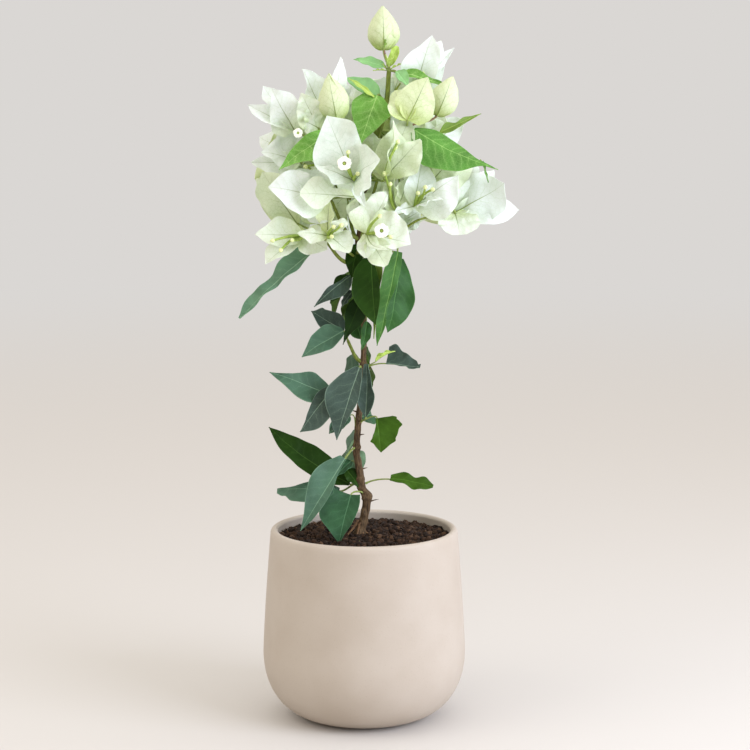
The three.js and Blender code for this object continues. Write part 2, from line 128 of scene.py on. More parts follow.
# Boughs: the height at which each leaves the stem, and where it ends
BOUGHS = {
    "shoot_left": (246, (-11, -1, 262)),
    "bough_low_left": (314, (-26, -14, 332)),
    "bough_low_front": (321, (0, -28, 343)),
    "bough_left": (331, (-22, -24, 360)),
    "bough_right": (338, (27, -20, 350)),
    "bough_front": (352, (9, -24, 372)),
    "bough_high_left": (366, (-22, -12, 399)),
    "bough_high_right": (394, (29, -14, 407)),
    "bough_back_low": (330, (-12, 32, 356)),
    "bough_back_right": (350, (32, 24, 376)),
    "bough_back_left": (356, (-28, 22, 380)),
    "bough_back_high": (386, (8, 26, 412)),
}

# Twigs between the heads: how far up the stem each starts, and the places that it passes
TWIGS = [
    (424, [(19, -3, 428), (24.5, -4, 436)]),
    (322, [(24, -24, 337), (30, -29, 342.5), (37, -30, 346.5), (47, -26, 348.5), (60, -17, 350)]),
    (318, [(-14, -18, 327), (-26, -26, 338)]),
]

# Side veins leave the midrib at this slant and bend towards the tip, in relief and in colour alike, and
# lie this far apart in millimetres
VEIN_SLANT = 0.65
VEIN_BEND = 0.018
LEAF_VEIN_GAP = 6.5
BRACT_VEIN_GAP = 6.0

# Leaf colours: the upper face's, the under face's, the veins', how strong the net of veins is and how
# much the upper face shines
LEAF_COLOURS = {
    "deep": ("#223b10", "#56762f", "#46652a", 0.10, 0.06),
    "shade": ("#1a2d12", "#46632e", "#2d471b", 0.08, 0.04),
    "sea": ("#486751", "#76966a", "#7fa080", 0.12, 0.16),
    "jade": ("#2d4f32", "#66875a", "#5a8560", 0.14, 0.12),
    "slate": ("#3d4d44", "#6c8866", "#869d86", 0.12, 0.14),
    "moss": ("#385615", "#7f9c48", "#557a2c", 0.14, 0.07),
    "mist": ("#5c7f62", "#86a578", "#93b391", 0.12, 0.16),
    "grass": ("#315829", "#7ea056", "#5e8f4c", 0.16, 0.14),
    "fresh": ("#3a632a", "#86a84f", "#73984c", 0.2, 0.12),
    "bright": ("#6aa040", "#98bc64", "#b0d480", 0.55, 0.2),
    "spring": ("#4f8232", "#87ac57", "#93bc68", 0.5, 0.18),
    "pale": ("#86b676", "#9cbf6a", "#9cc788", 0.30, 0.18),
    "olive": ("#6d873a", "#86a04e", "#9db257", 0.15, 0.12),
    "lime": ("#b3cd62", "#b3cf63", "#cfdf86", 0.15, 0.16),
}

# Bract colours: the blade's, that of its foot, that of its side veins and that of its midrib. The green set
# is a greenish tint with painted shade: it is greyer and darker than the white, for bracts deep in the
# crown or shaded by leaves and other bracts
BRACT_COLOURS = {
    "white": ("#f5f9f5", "#ebf3dc", "#cddabd", "#8b9c50"),
    "cool": ("#eef3ea", "#e3ecd8", "#c3d3bd", "#8f9d62"),
    "cream": ("#f1f6e8", "#e4edc4", "#c5d3a0", "#8b9a4c"),
    "young": ("#eef4d2", "#d3e08f", "#b3c468", "#66782a"),
    # Painted shade: greyed greenish colours for bracts that lie in shade
    "green": ("#e9f0d8", "#d5e0a9", "#b7c68b", "#7b8d40"),
}


def linear(code):
    """The linear red, green, blue and alpha of an sRGB hex code."""
    values = [int(code[i:i + 2], 16) / 255 for i in (1, 3, 5)]
    return tuple(v / 12.92 if v <= 0.04045 else ((v + 0.055) / 1.055) ** 2.4 for v in values) + (1.0,)


def unit(vectors):
    """The vectors at length 1."""
    return vectors / np.maximum(np.linalg.norm(vectors, axis=-1, keepdims=True), 1e-9)


def direction(turn, rise):
    """The unit vector of a bearing and a rise, both in degrees."""
    turn, rise = np.radians(turn), np.radians(rise)
    return np.array([np.cos(rise) * np.sin(turn), -np.cos(rise) * np.cos(turn), np.sin(rise)])


def running_sum(values, along, axis=0):
    """The integral of values along one axis from its start, by the trapezium rule."""
    values = np.moveaxis(values, axis, 0)
    steps = np.diff(along).reshape((-1,) + (1,) * (values.ndim - 1))
    total = np.cumsum((values[1:] + values[:-1]) / 2 * steps, axis=0)
    return np.moveaxis(np.concatenate([np.zeros_like(values[:1]), total]), 0, axis)


def smooth_path(points, count):
    """A curve through the points, of any number of columns.

    Between two points it is the cubic that passes through both with half the slope of the line that
    joins their neighbours.
    """
    points = np.array(points, float)
    ends = 2 * points[[0, -1]] - points[[1, -2]]
    held = np.vstack([ends[:1], points, ends[1:]])
    place = np.linspace(0, len(points) - 1, count)
    low = np.minimum(place.astype(int), len(points) - 2)
    t = (place - low)[:, None]
    a, b, c, d = (held[low + i] for i in range(4))
    cubic = (3 * b - a - 3 * c + d) * t**3
    return (2 * b + (c - a) * t + (2 * a - 5 * b + 4 * c - d) * t**2 + cubic) / 2


def hermite_path(start, start_slope, end, end_slope, count):
    """The cubic that leaves start with one slope and reaches end with another."""
    t = np.linspace(0, 1, count)[:, None]
    return (
        (2 * t**3 - 3 * t**2 + 1) * np.array(start, float)
        + (t**3 - 2 * t**2 + t) * np.array(start_slope, float)
        + (3 * t**2 - 2 * t**3) * np.array(end, float)
        + (t**3 - t**2) * np.array(end_slope, float)
    )


def ripple(rng, across, along, waves, longest):
    """A smooth random surface, mostly between -1 and 1.

    It is the sum of plane waves with random directions and phases, and lengths down from the longest,
    over the root of their number.
    """
    total = np.zeros(np.broadcast(across, along).shape)
    for _ in range(waves):
        way, phase = rng.uniform(0, 2 * np.pi, 2)
        pitch = 2 * np.pi / (longest * rng.uniform(0.45, 1))
        total = total + np.sin(pitch * (np.cos(way) * across + np.sin(way) * along) + phase)
    return total / np.sqrt(waves)


# Patches

def patch(places, faces, values, island, sizes, look):
    """Faces with the values of their corners, and the island and the look of each.

    A corner's values are its place on the island's own unit square, its place on the surface in
    millimetres, and the share of the way across and along. A fourth corner of -1 marks a triangle.
    """
    local, mm, share = values
    return SimpleNamespace(
        places=places, faces=faces, local=local, mm=mm, share=share,
        island=island, sizes=np.array(sizes, float), look=look,
    )


def joined(patches):
    """One patch with the faces of all."""
    corner_start = np.cumsum([0] + [len(p.places) for p in patches])
    island_start = np.cumsum([0] + [len(p.sizes) for p in patches])
    return patch(
        np.concatenate([p.places for p in patches]),
        np.concatenate([np.where(p.faces < 0, -1, p.faces + s) for p, s in zip(patches, corner_start)]),
        [np.concatenate([getattr(p, name) for p in patches]) for name in ("local", "mm", "share")],
        np.concatenate([p.island + s for p, s in zip(patches, island_start)]),
        np.concatenate([p.sizes for p in patches]),
        np.concatenate([p.look for p in patches]),
    )


def grid_faces(rows, columns, wrap):
    """The quads of a grid whose columns run across, each seen counter-clockwise with the rows going up."""
    across = columns if wrap else columns - 1
    row, column = (a.ravel() for a in np.mgrid[0:rows - 1, 0:across])
    after = (column + 1) % columns
    quads = [row * columns + column, row * columns + after]
    quads += [(row + 1) * columns + after, (row + 1) * columns + column]
    corners = np.stack([
        np.stack([column, row], -1), np.stack([column + 1, row], -1),
        np.stack([column + 1, row + 1], -1), np.stack([column, row + 1], -1),
    ], 1)
    return np.stack(quads, 1), corners


def sheet(middle, thick, mm, share, looks, lift=0.0, sink=0.0):
    """A thin closed blade on a grid of places.

    Its upper face lies half the thickness along the grid's normal, raised by lift. Its under face lies
    half the thickness against it, lowered by sink. A strip round the margin joins the two, and on the
    map it is the upper face's rim.
    """
    rows, columns = middle.shape[:2]
    normal = unit(np.cross(np.gradient(middle, axis=1), np.gradient(middle, axis=0)))
    upper = middle + normal * (thick / 2 + lift * np.ones((rows, columns)))[..., None]
    under = middle - normal * (thick / 2 + sink * np.ones((rows, columns)))[..., None]
    count = rows * columns
    quads, corners = grid_faces(rows, columns, False)
    square = corners / [columns - 1, rows - 1]
    loop = np.concatenate([
        np.arange(columns),
        columns - 1 + columns * np.arange(1, rows),
        (rows - 1) * columns + np.arange(columns - 2, -1, -1),
        columns * np.arange(rows - 2, 0, -1),
    ])
    after = np.roll(loop, -1)
    strip = np.stack([after, loop, loop + count, after + count], 1)
    edge = strip % count
    edge_square = np.stack([edge % columns, edge // columns], -1) / [columns - 1, rows - 1]
    outward = np.where(np.abs(edge_square - 0.5) > 0.499, np.sign(edge_square - 0.5), 0)
    map_rim = 0.012
    edge_square = edge_square + outward * np.array([0, 0, 1, 1])[None, :, None] * map_rim
    faces = np.concatenate([quads, quads[:, ::-1] + count, strip])
    source = faces % count
    flat_mm, flat_share = mm.reshape(-1, 2), share.reshape(-1, 2)
    values = [
        np.concatenate([square, square[:, ::-1], edge_square]),
        flat_mm[source], flat_share[source],
    ]
    n, m = len(quads), len(strip)
    island = np.concatenate([np.zeros(n, int), np.ones(n, int), np.zeros(m, int)])
    look = np.concatenate([np.full(n, looks[0]), np.full(n, looks[1]), np.full(m, looks[0])])
    size = [np.ptp(mm[..., 0]), np.ptp(mm[..., 1])]
    return patch(np.concatenate([upper.reshape(-1, 3), under.reshape(-1, 3)]), faces, values,
                 island, [size, size], look)


def closed_grid(places, mm, flip, look):
    """A grid that wraps round its columns, its first and last rows each closed by a fan to its middle.

    mm holds the way round in millimetres and, for each row, the way along. flip turns the faces round.
    look is one number, or one for each strip between two rows.
    """
    rows, columns = places.shape[:2]
    quads, corners = grid_faces(rows, columns, True)
    count = rows * columns
    poles = np.stack([places[0].mean(0), places[-1].mean(0)])
    j = np.arange(columns)
    after = (j + 1) % columns
    none = np.full(columns, -1)
    first = np.stack([np.full(columns, count), after, j, none], 1)
    last = np.stack([np.full(columns, count + 1), count - columns + j, count - columns + after, none], 1)
    first_at = np.stack([np.stack([j + 0.5, j * 0 - 0.6], -1), np.stack([j + 1, j * 0], -1),
                         np.stack([j, j * 0], -1), np.stack([j, j * 0], -1)], 1)
    top = np.full(columns, rows - 1)
    last_at = np.stack([np.stack([j + 0.5, top + 0.6], -1), np.stack([j, top], -1),
                        np.stack([j + 1, top], -1), np.stack([j, top], -1)], 1)
    faces = np.concatenate([quads, first, last])
    at = np.concatenate([corners, first_at, last_at]).astype(float)
    if flip:
        order = np.where(faces[:, 3:] < 0, [[0, 2, 1, 3]], [[0, 3, 2, 1]])
        faces = np.take_along_axis(faces, order, 1)
        at = np.take_along_axis(at, order[..., None], 1)
    row = np.clip(at[..., 1], 0, rows - 1)
    share = np.stack([at[..., 0] / columns, row / (rows - 1)], -1)
    local = np.stack([at[..., 0] / columns, (at[..., 1] + 1) / (rows + 1)], -1)
    low = row.astype(int)
    part = row - low
    along = mm[1][low] * (1 - part) + mm[1][np.minimum(low + 1, rows - 1)] * part
    around = share[..., 0] * mm[0]
    strips = np.broadcast_to(look, (rows - 1,))
    looks = np.repeat(np.concatenate([strips, strips[[0, -1]]]), columns)
    return patch(
        np.concatenate([places.reshape(-1, 3), poles]), faces,
        [local, np.stack([around, along], -1), share],
        np.zeros(len(faces), int), [[max(mm[0], 0.5), max(mm[1][-1], 0.5)]], looks,
    )


def tube(path, radius, sides, look):
    """A ring carried along a path: it stands square to the path, at a radius that may differ along and
    around it. The ring's first place keeps to the plane that the path lies in best.
    """
    path = np.array(path, float)
    radius = np.array(radius, float)
    radius = np.broadcast_to(radius[:, None] if radius.ndim < 2 else radius, (len(path), sides))
    forward = unit(np.gradient(path, axis=0))
    flat = np.linalg.svd(path - path.mean(0), full_matrices=True)[2][2]
    right = unit(np.cross(forward, flat))
    up = np.cross(right, forward)
    turn = 2 * np.pi * np.arange(sides) / sides
    ring = np.cos(turn)[None, :, None] * right[:, None] + np.sin(turn)[None, :, None] * up[:, None]
    places = path[:, None] + radius[..., None] * ring
    along = np.concatenate([[0], np.cumsum(np.linalg.norm(np.diff(path, axis=0), axis=1))])
    return closed_grid(places, (2 * np.pi * radius.mean(), along), True, look)


def turned(radius, height, sides, look, lobes=None, middle=(0, 0, 0), axis=(0, 0, 1)):
    """A profile turned about an axis.

    Each place is the middle plus the radius out by the turn's cosine and sine, and the height along the
    axis. lobes is a pair of arrays that scale the radius and raise the height for each ring and side.
    """
    radius, height = np.array(radius, float), np.array(height, float)
    turn = 2 * np.pi * np.arange(sides) / sides
    scale, raise_by = lobes if lobes is not None else (np.ones((1, sides)), np.zeros((1, sides)))
    reach = radius[:, None] * scale
    level = height[:, None] + raise_by
    up = unit(np.array(axis, float))
    right = unit(np.cross(up, np.eye(3)[np.argmin(np.abs(up))]))
    other = np.cross(up, right)
    places = (
        np.array(middle, float)
        + (reach * np.cos(turn))[..., None] * right
        + (reach * np.sin(turn))[..., None] * other
        + level[..., None] * up
    )
    steps = np.hypot(np.diff(radius), np.diff(height))
    along = np.concatenate([[0], np.cumsum(steps)])
    return closed_grid(places, (2 * np.pi * radius.mean(), along), False, look)


def lay_out(sizes):
    """Sets islands in rows on one square, the tallest first. Returns each one's corner and the scale.

    Islands stand a small share of the square apart, and the square has a little more room than they
    fill, because rows never fit to the end.
    """
    sizes = np.array(sizes, float)
    gap_share, spare = 0.008, 1.04
    gap = gap_share * np.sqrt((sizes.prod(1)).sum())
    side = np.sqrt(((sizes + gap).prod(1)).sum()) * spare
    side = max(side, sizes[:, 0].max() + gap)
    corners = np.zeros_like(sizes)
    x = y = row = 0.0
    for i in np.argsort(-sizes[:, 1], kind="stable"):
        wide, high = sizes[i] + gap
        if x + wide > side:
            x, y, row = 0.0, y + row, 0.0
        corners[i] = x + gap / 2, y + gap / 2
        x, row = x + wide, max(row, high)
    whole = max(side, y + row)
    return corners / whole, 1 / whole


def put_piece(name, patches, replaced):
    """Makes one mesh object of the patches and rides it on the body.

    It has a map for each kind of corner value: the atlas, the place in millimetres and the share.
    """
    whole = joined(patches)
    keep = whole.faces >= 0
    total = keep.sum(1)
    mesh = bpy.data.meshes.new(name)
    mesh.vertices.add(len(whole.places))
    mesh.vertices.foreach_set("co", (whole.places * MM).astype(np.float32).ravel())
    mesh.loops.add(int(total.sum()))
    mesh.loops.foreach_set("vertex_index", whole.faces[keep].astype(np.int32))
    mesh.polygons.add(len(total))
    start = np.concatenate([[0], np.cumsum(total)[:-1]])
    mesh.polygons.foreach_set("loop_start", start.astype(np.int32))
    names, slots = np.unique(whole.look, return_inverse=True)
    mesh.polygons.foreach_set("material_index", slots.astype(np.int32).ravel())
    mesh.polygons.foreach_set("use_smooth", np.ones(len(total), bool))
    corner, scale = lay_out(whole.sizes)
    atlas = corner[whole.island][:, None] + whole.local * (whole.sizes * scale)[whole.island][:, None]
    for map_name, values in (("OFBake", atlas), ("mm", whole.mm), ("share", whole.share)):
        layer = mesh.uv_layers.new(name=map_name)
        layer.uv.foreach_set("vector", values[keep].astype(np.float32).ravel())
    mesh.update(calc_edges=True)
    mesh.validate()
    mesh.set_sharp_from_angle(angle=np.radians(SHARP_ANGLE))
    for index in names:
        mesh.materials.append(material(LOOKS[index]))
    piece = bpy.data.objects.new(name, mesh)
    bpy.context.collection.objects.link(piece)
    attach(piece, BODY)
    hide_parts(*replaced)
    return piece


# Blades

def ovate(along, foot_power, tip_power):
    """The breadth of an egg-shaped outline, from 0 at the foot through 1 at its widest to 0 at the tip."""
    widest = foot_power / (foot_power + tip_power)
    most = widest**foot_power * (1 - widest) ** tip_power
    return along**foot_power * (1 - along) ** tip_power / most


# The usual forms. Angles are in degrees. wave, rumple and crinkle are heights in millimetres, waves is how
# many of them stand along a margin, and rib and vein are the heights of the relief. edges and bumps give
# an outline of its own, and gap is the way from one side vein to the next.
LEAF_FORM = dict(
    powers=(0.55, 1.1), bend=18, bend_power=1.3, curl=0, cup=8, flip=0, fold=12, twist=0, sweep=0.0,
    wave=0.7, waves=2.5, rumple=0.5, crinkle=0.1, thick=0.36, rib=0.3, vein=0.12, gap=LEAF_VEIN_GAP,
    rows=44, columns=23, bumps=(), edges=None,
)
BRACT_FORM = dict(
    powers=(0.48, 1.0), bend=14, bend_power=1.3, curl=12, cup=30, flip=-14, fold=4, twist=0, sweep=0.0,
    wave=1.6, waves=2.4, rumple=0.8, crinkle=0.2, thick=0.24, rib=0.15, vein=0.14, gap=BRACT_VEIN_GAP,
    rows=40, columns=25, bumps=(), edges=None,
)
# Rows of a blade's grid crowd towards its ends by this share, and columns towards its midrib by a power
END_CROWD = 0.55
RIB_CROWD = 1.2
# The longest waves of the rumple and the crinkle, and how far from the foot or midrib each is full grown
RUMPLE_LONG, RUMPLE_FULL = 30, 12
CRINKLE_LONG, CRINKLE_FULL = 9, 4
# Half the breadth of the midrib's ridge, and the least that a blade reaches to each side
RIB_REACH = 0.55
LEAST_REACH = 0.25


def half_widths(f, wide, u, v):
    """How far the blade reaches to each side of its midrib.

    The outline is ovate, or follows the widths given for the left and the right edge at even steps from
    foot to tip. Bumps are bell curves along one edge: where along it, its side, how deep and how broad.
    """
    if f.edges is None:
        half = np.maximum(wide / 2 * ovate(u, *f.powers), LEAST_REACH)[:, None] * np.ones_like(v)
    else:
        fine = 80
        left, right = (
            np.interp(u, np.linspace(0, 1, fine), smooth_path([(w, 0) for w in edge], fine)[:, 0])
            for edge in f.edges
        )
        half = np.where(v < 0, left[:, None], right[:, None])
        half = np.where(v == 0, (left + right)[:, None] / 2, half)
        half = np.maximum(half, LEAST_REACH)
    for where, on_side, deep, broad in f.bumps:
        half = half + deep * np.exp(-(((u - where) / broad) ** 2))[:, None] * (np.sign(v) == on_side)
    return np.maximum(half, 0.2)


def blade(foot, tip, face, wide, looks, rng, form):
    """A leaf or bract from foot to tip, its upper side towards face.

    The midrib is a curve whose slope falls by the bend times a power of the share of the way along, and
    by the curl close to its tip. At each place along it the blade runs out to both sides: its slope
    there is the fold, plus the cup times the share of the way to the margin, plus the flip times the
    cube of that share. The margin rises and falls in waves, the whole blade is rumpled by long plane
    waves and crinkled by short ones, and its midrib and side veins are sunk in the upper face and stand
    up from the under face.
    """
    f = SimpleNamespace(**form)
    foot, tip = np.array(foot, float), np.array(tip, float)
    long = np.linalg.norm(tip - foot)
    forward = (tip - foot) / long
    normal = unit(face - (face @ forward) * forward)
    across = np.cross(forward, normal)
    step = np.linspace(0, 1, f.rows)
    u = (1 - END_CROWD) * step + END_CROWD * (1 - np.cos(np.pi * step)) / 2
    bent = -np.radians(f.bend) * u**f.bend_power - np.radians(f.curl) * u**5
    ahead, rise = running_sum(np.cos(bent), u), running_sum(np.sin(bent), u)
    chord = np.arctan2(rise[-1], ahead[-1])
    size = long / np.hypot(ahead[-1], rise[-1])
    ahead, rise = (
        size * (ahead * np.cos(chord) + rise * np.sin(chord)),
        size * (rise * np.cos(chord) - ahead * np.sin(chord)),
    )
    aside = f.sweep * long * 4 * u * (1 - u)
    rib = foot + ahead[:, None] * forward + rise[:, None] * normal + aside[:, None] * across
    slope = unit(np.gradient(rib, axis=0))
    lean = (bent - chord)[:, None]
    up = np.cos(lean) * normal - np.sin(lean) * forward
    up = unit(up - (up * slope).sum(1, keepdims=True) * slope)
    side = np.cross(slope, up)
    turn = np.radians(f.twist) * (u - 0.4)[:, None]
    up, side = np.cos(turn) * up + np.sin(turn) * side, np.cos(turn) * side - np.sin(turn) * up

    even = np.linspace(-1, 1, f.columns)
    v = np.sign(even) * np.abs(even) ** RIB_CROWD
    half = half_widths(f, wide, u, v)
    angle = np.radians(
        f.fold * np.tanh(8 * v)
        + f.cup * (1.3 - 0.6 * u[:, None]) * v
        + f.flip * np.sign(v) * np.abs(v) ** 3
    )
    centre = f.columns // 2
    out, high = running_sum(np.cos(angle), v, 1), running_sum(np.sin(angle), v, 1)
    out = half * (out - out[:, centre:centre + 1])
    high = half * (high - high[:, centre:centre + 1])
    phases = rng.uniform(0, 2 * np.pi, 2)
    tide = np.sin(2 * np.pi * f.waves * u[:, None] ** 1.1 + np.where(v < 0, phases[0], phases[1]))
    high = high + f.wave * np.abs(v) ** 1.8 * tide * np.sin(np.pi * u[:, None]) ** 0.6
    y = (u * long)[:, None] * np.ones_like(v)
    s = half * v
    rumpled = ripple(rng, s, y, 6, RUMPLE_LONG) * np.minimum(1, (y + np.abs(s)) / RUMPLE_FULL)
    crinkled = ripple(rng, s, y, 8, CRINKLE_LONG) * np.minimum(1, np.abs(s) / CRINKLE_FULL)
    high = high + f.rumple * rumpled + f.crinkle * crinkled
    middle = rib[:, None] + out[..., None] * side[:, None] + high[..., None] * up[:, None]

    rib_line = np.exp(-((s / RIB_REACH) ** 2)) * (1 - 0.7 * u[:, None])
    slant = y - VEIN_SLANT * np.abs(s) - VEIN_BEND * s**2
    vein_line = (0.5 + 0.5 * np.cos(2 * np.pi * slant / f.gap)) ** 3 * np.sin(np.pi * np.abs(v)) ** 0.5
    relief = f.rib * rib_line + f.vein * vein_line
    mm = np.stack([s, y], -1)
    share = np.stack([np.broadcast_to(v, s.shape), np.broadcast_to(u[:, None], s.shape)], -1)
    body = sheet(middle, f.thick, mm, share, looks, -relief, relief)
    return body, (middle[:, centre], up, f.thick), slope[0]


def under_rib(spine, radius):
    """The line of a round midrib that hangs under a blade.

    It is the blade's spine, moved against the upper side so far that the rib stays under the blade.
    """
    rib, up, thick = spine
    count = len(radius)
    return rib[:count] - up[:count] * (thick / 2 + 0.05 + radius)[:, None]


def stalked_leaf(node, row, rng):
    """A leaf with its stalk, which leaves the limb at the node, or at the row's own node.

    The stalk reaches the blade's foot along its midrib, and runs on under the blade as its rib.
    """
    x, y, z, turn, rise, roll, long, wide, colour = row[:9]
    changes = dict(row[9]) if len(row) > 9 else {}
    node = changes.pop("node", node)
    form = dict(LEAF_FORM, **changes)
    foot, forward = np.array([x, y, z], float), direction(turn, rise)
    flat = np.cross(forward, direction(turn + 90, 0))
    roll = np.radians(roll)
    face = np.cos(roll) * flat - np.sin(roll) * np.cross(forward, flat)
    looks = LOOKS.index(f"leaf_{colour}_upper"), LOOKS.index(f"leaf_{colour}_under")
    body, spine, slope = blade(foot, foot + long * forward, face, wide, looks, rng, form)
    node = np.array(node, float)
    reach = np.linalg.norm(foot - node)
    leave = unit(foot - node + np.array([0, 0, 0.35 * reach])) * reach
    thick = min(0.75, 0.25 + 0.011 * long)
    rib_share, rings = 0.86, 14
    rib_radius = thick * np.linspace(0.85, 0.14, int(rib_share * len(spine[0])))
    line = under_rib(spine, rib_radius)
    path = hermite_path(node, leave, line[0], slope * reach, rings)
    stalk_radius = thick * np.interp(np.linspace(0, 1, rings), [0, 0.15, 0.6, 1], [1.5, 1.05, 0.95, 0.85])
    whole = np.vstack([path[:-1], line])
    return body, tube(whole, np.concatenate([stalk_radius[:-1], rib_radius]), 8, LOOKS.index("stalk"))


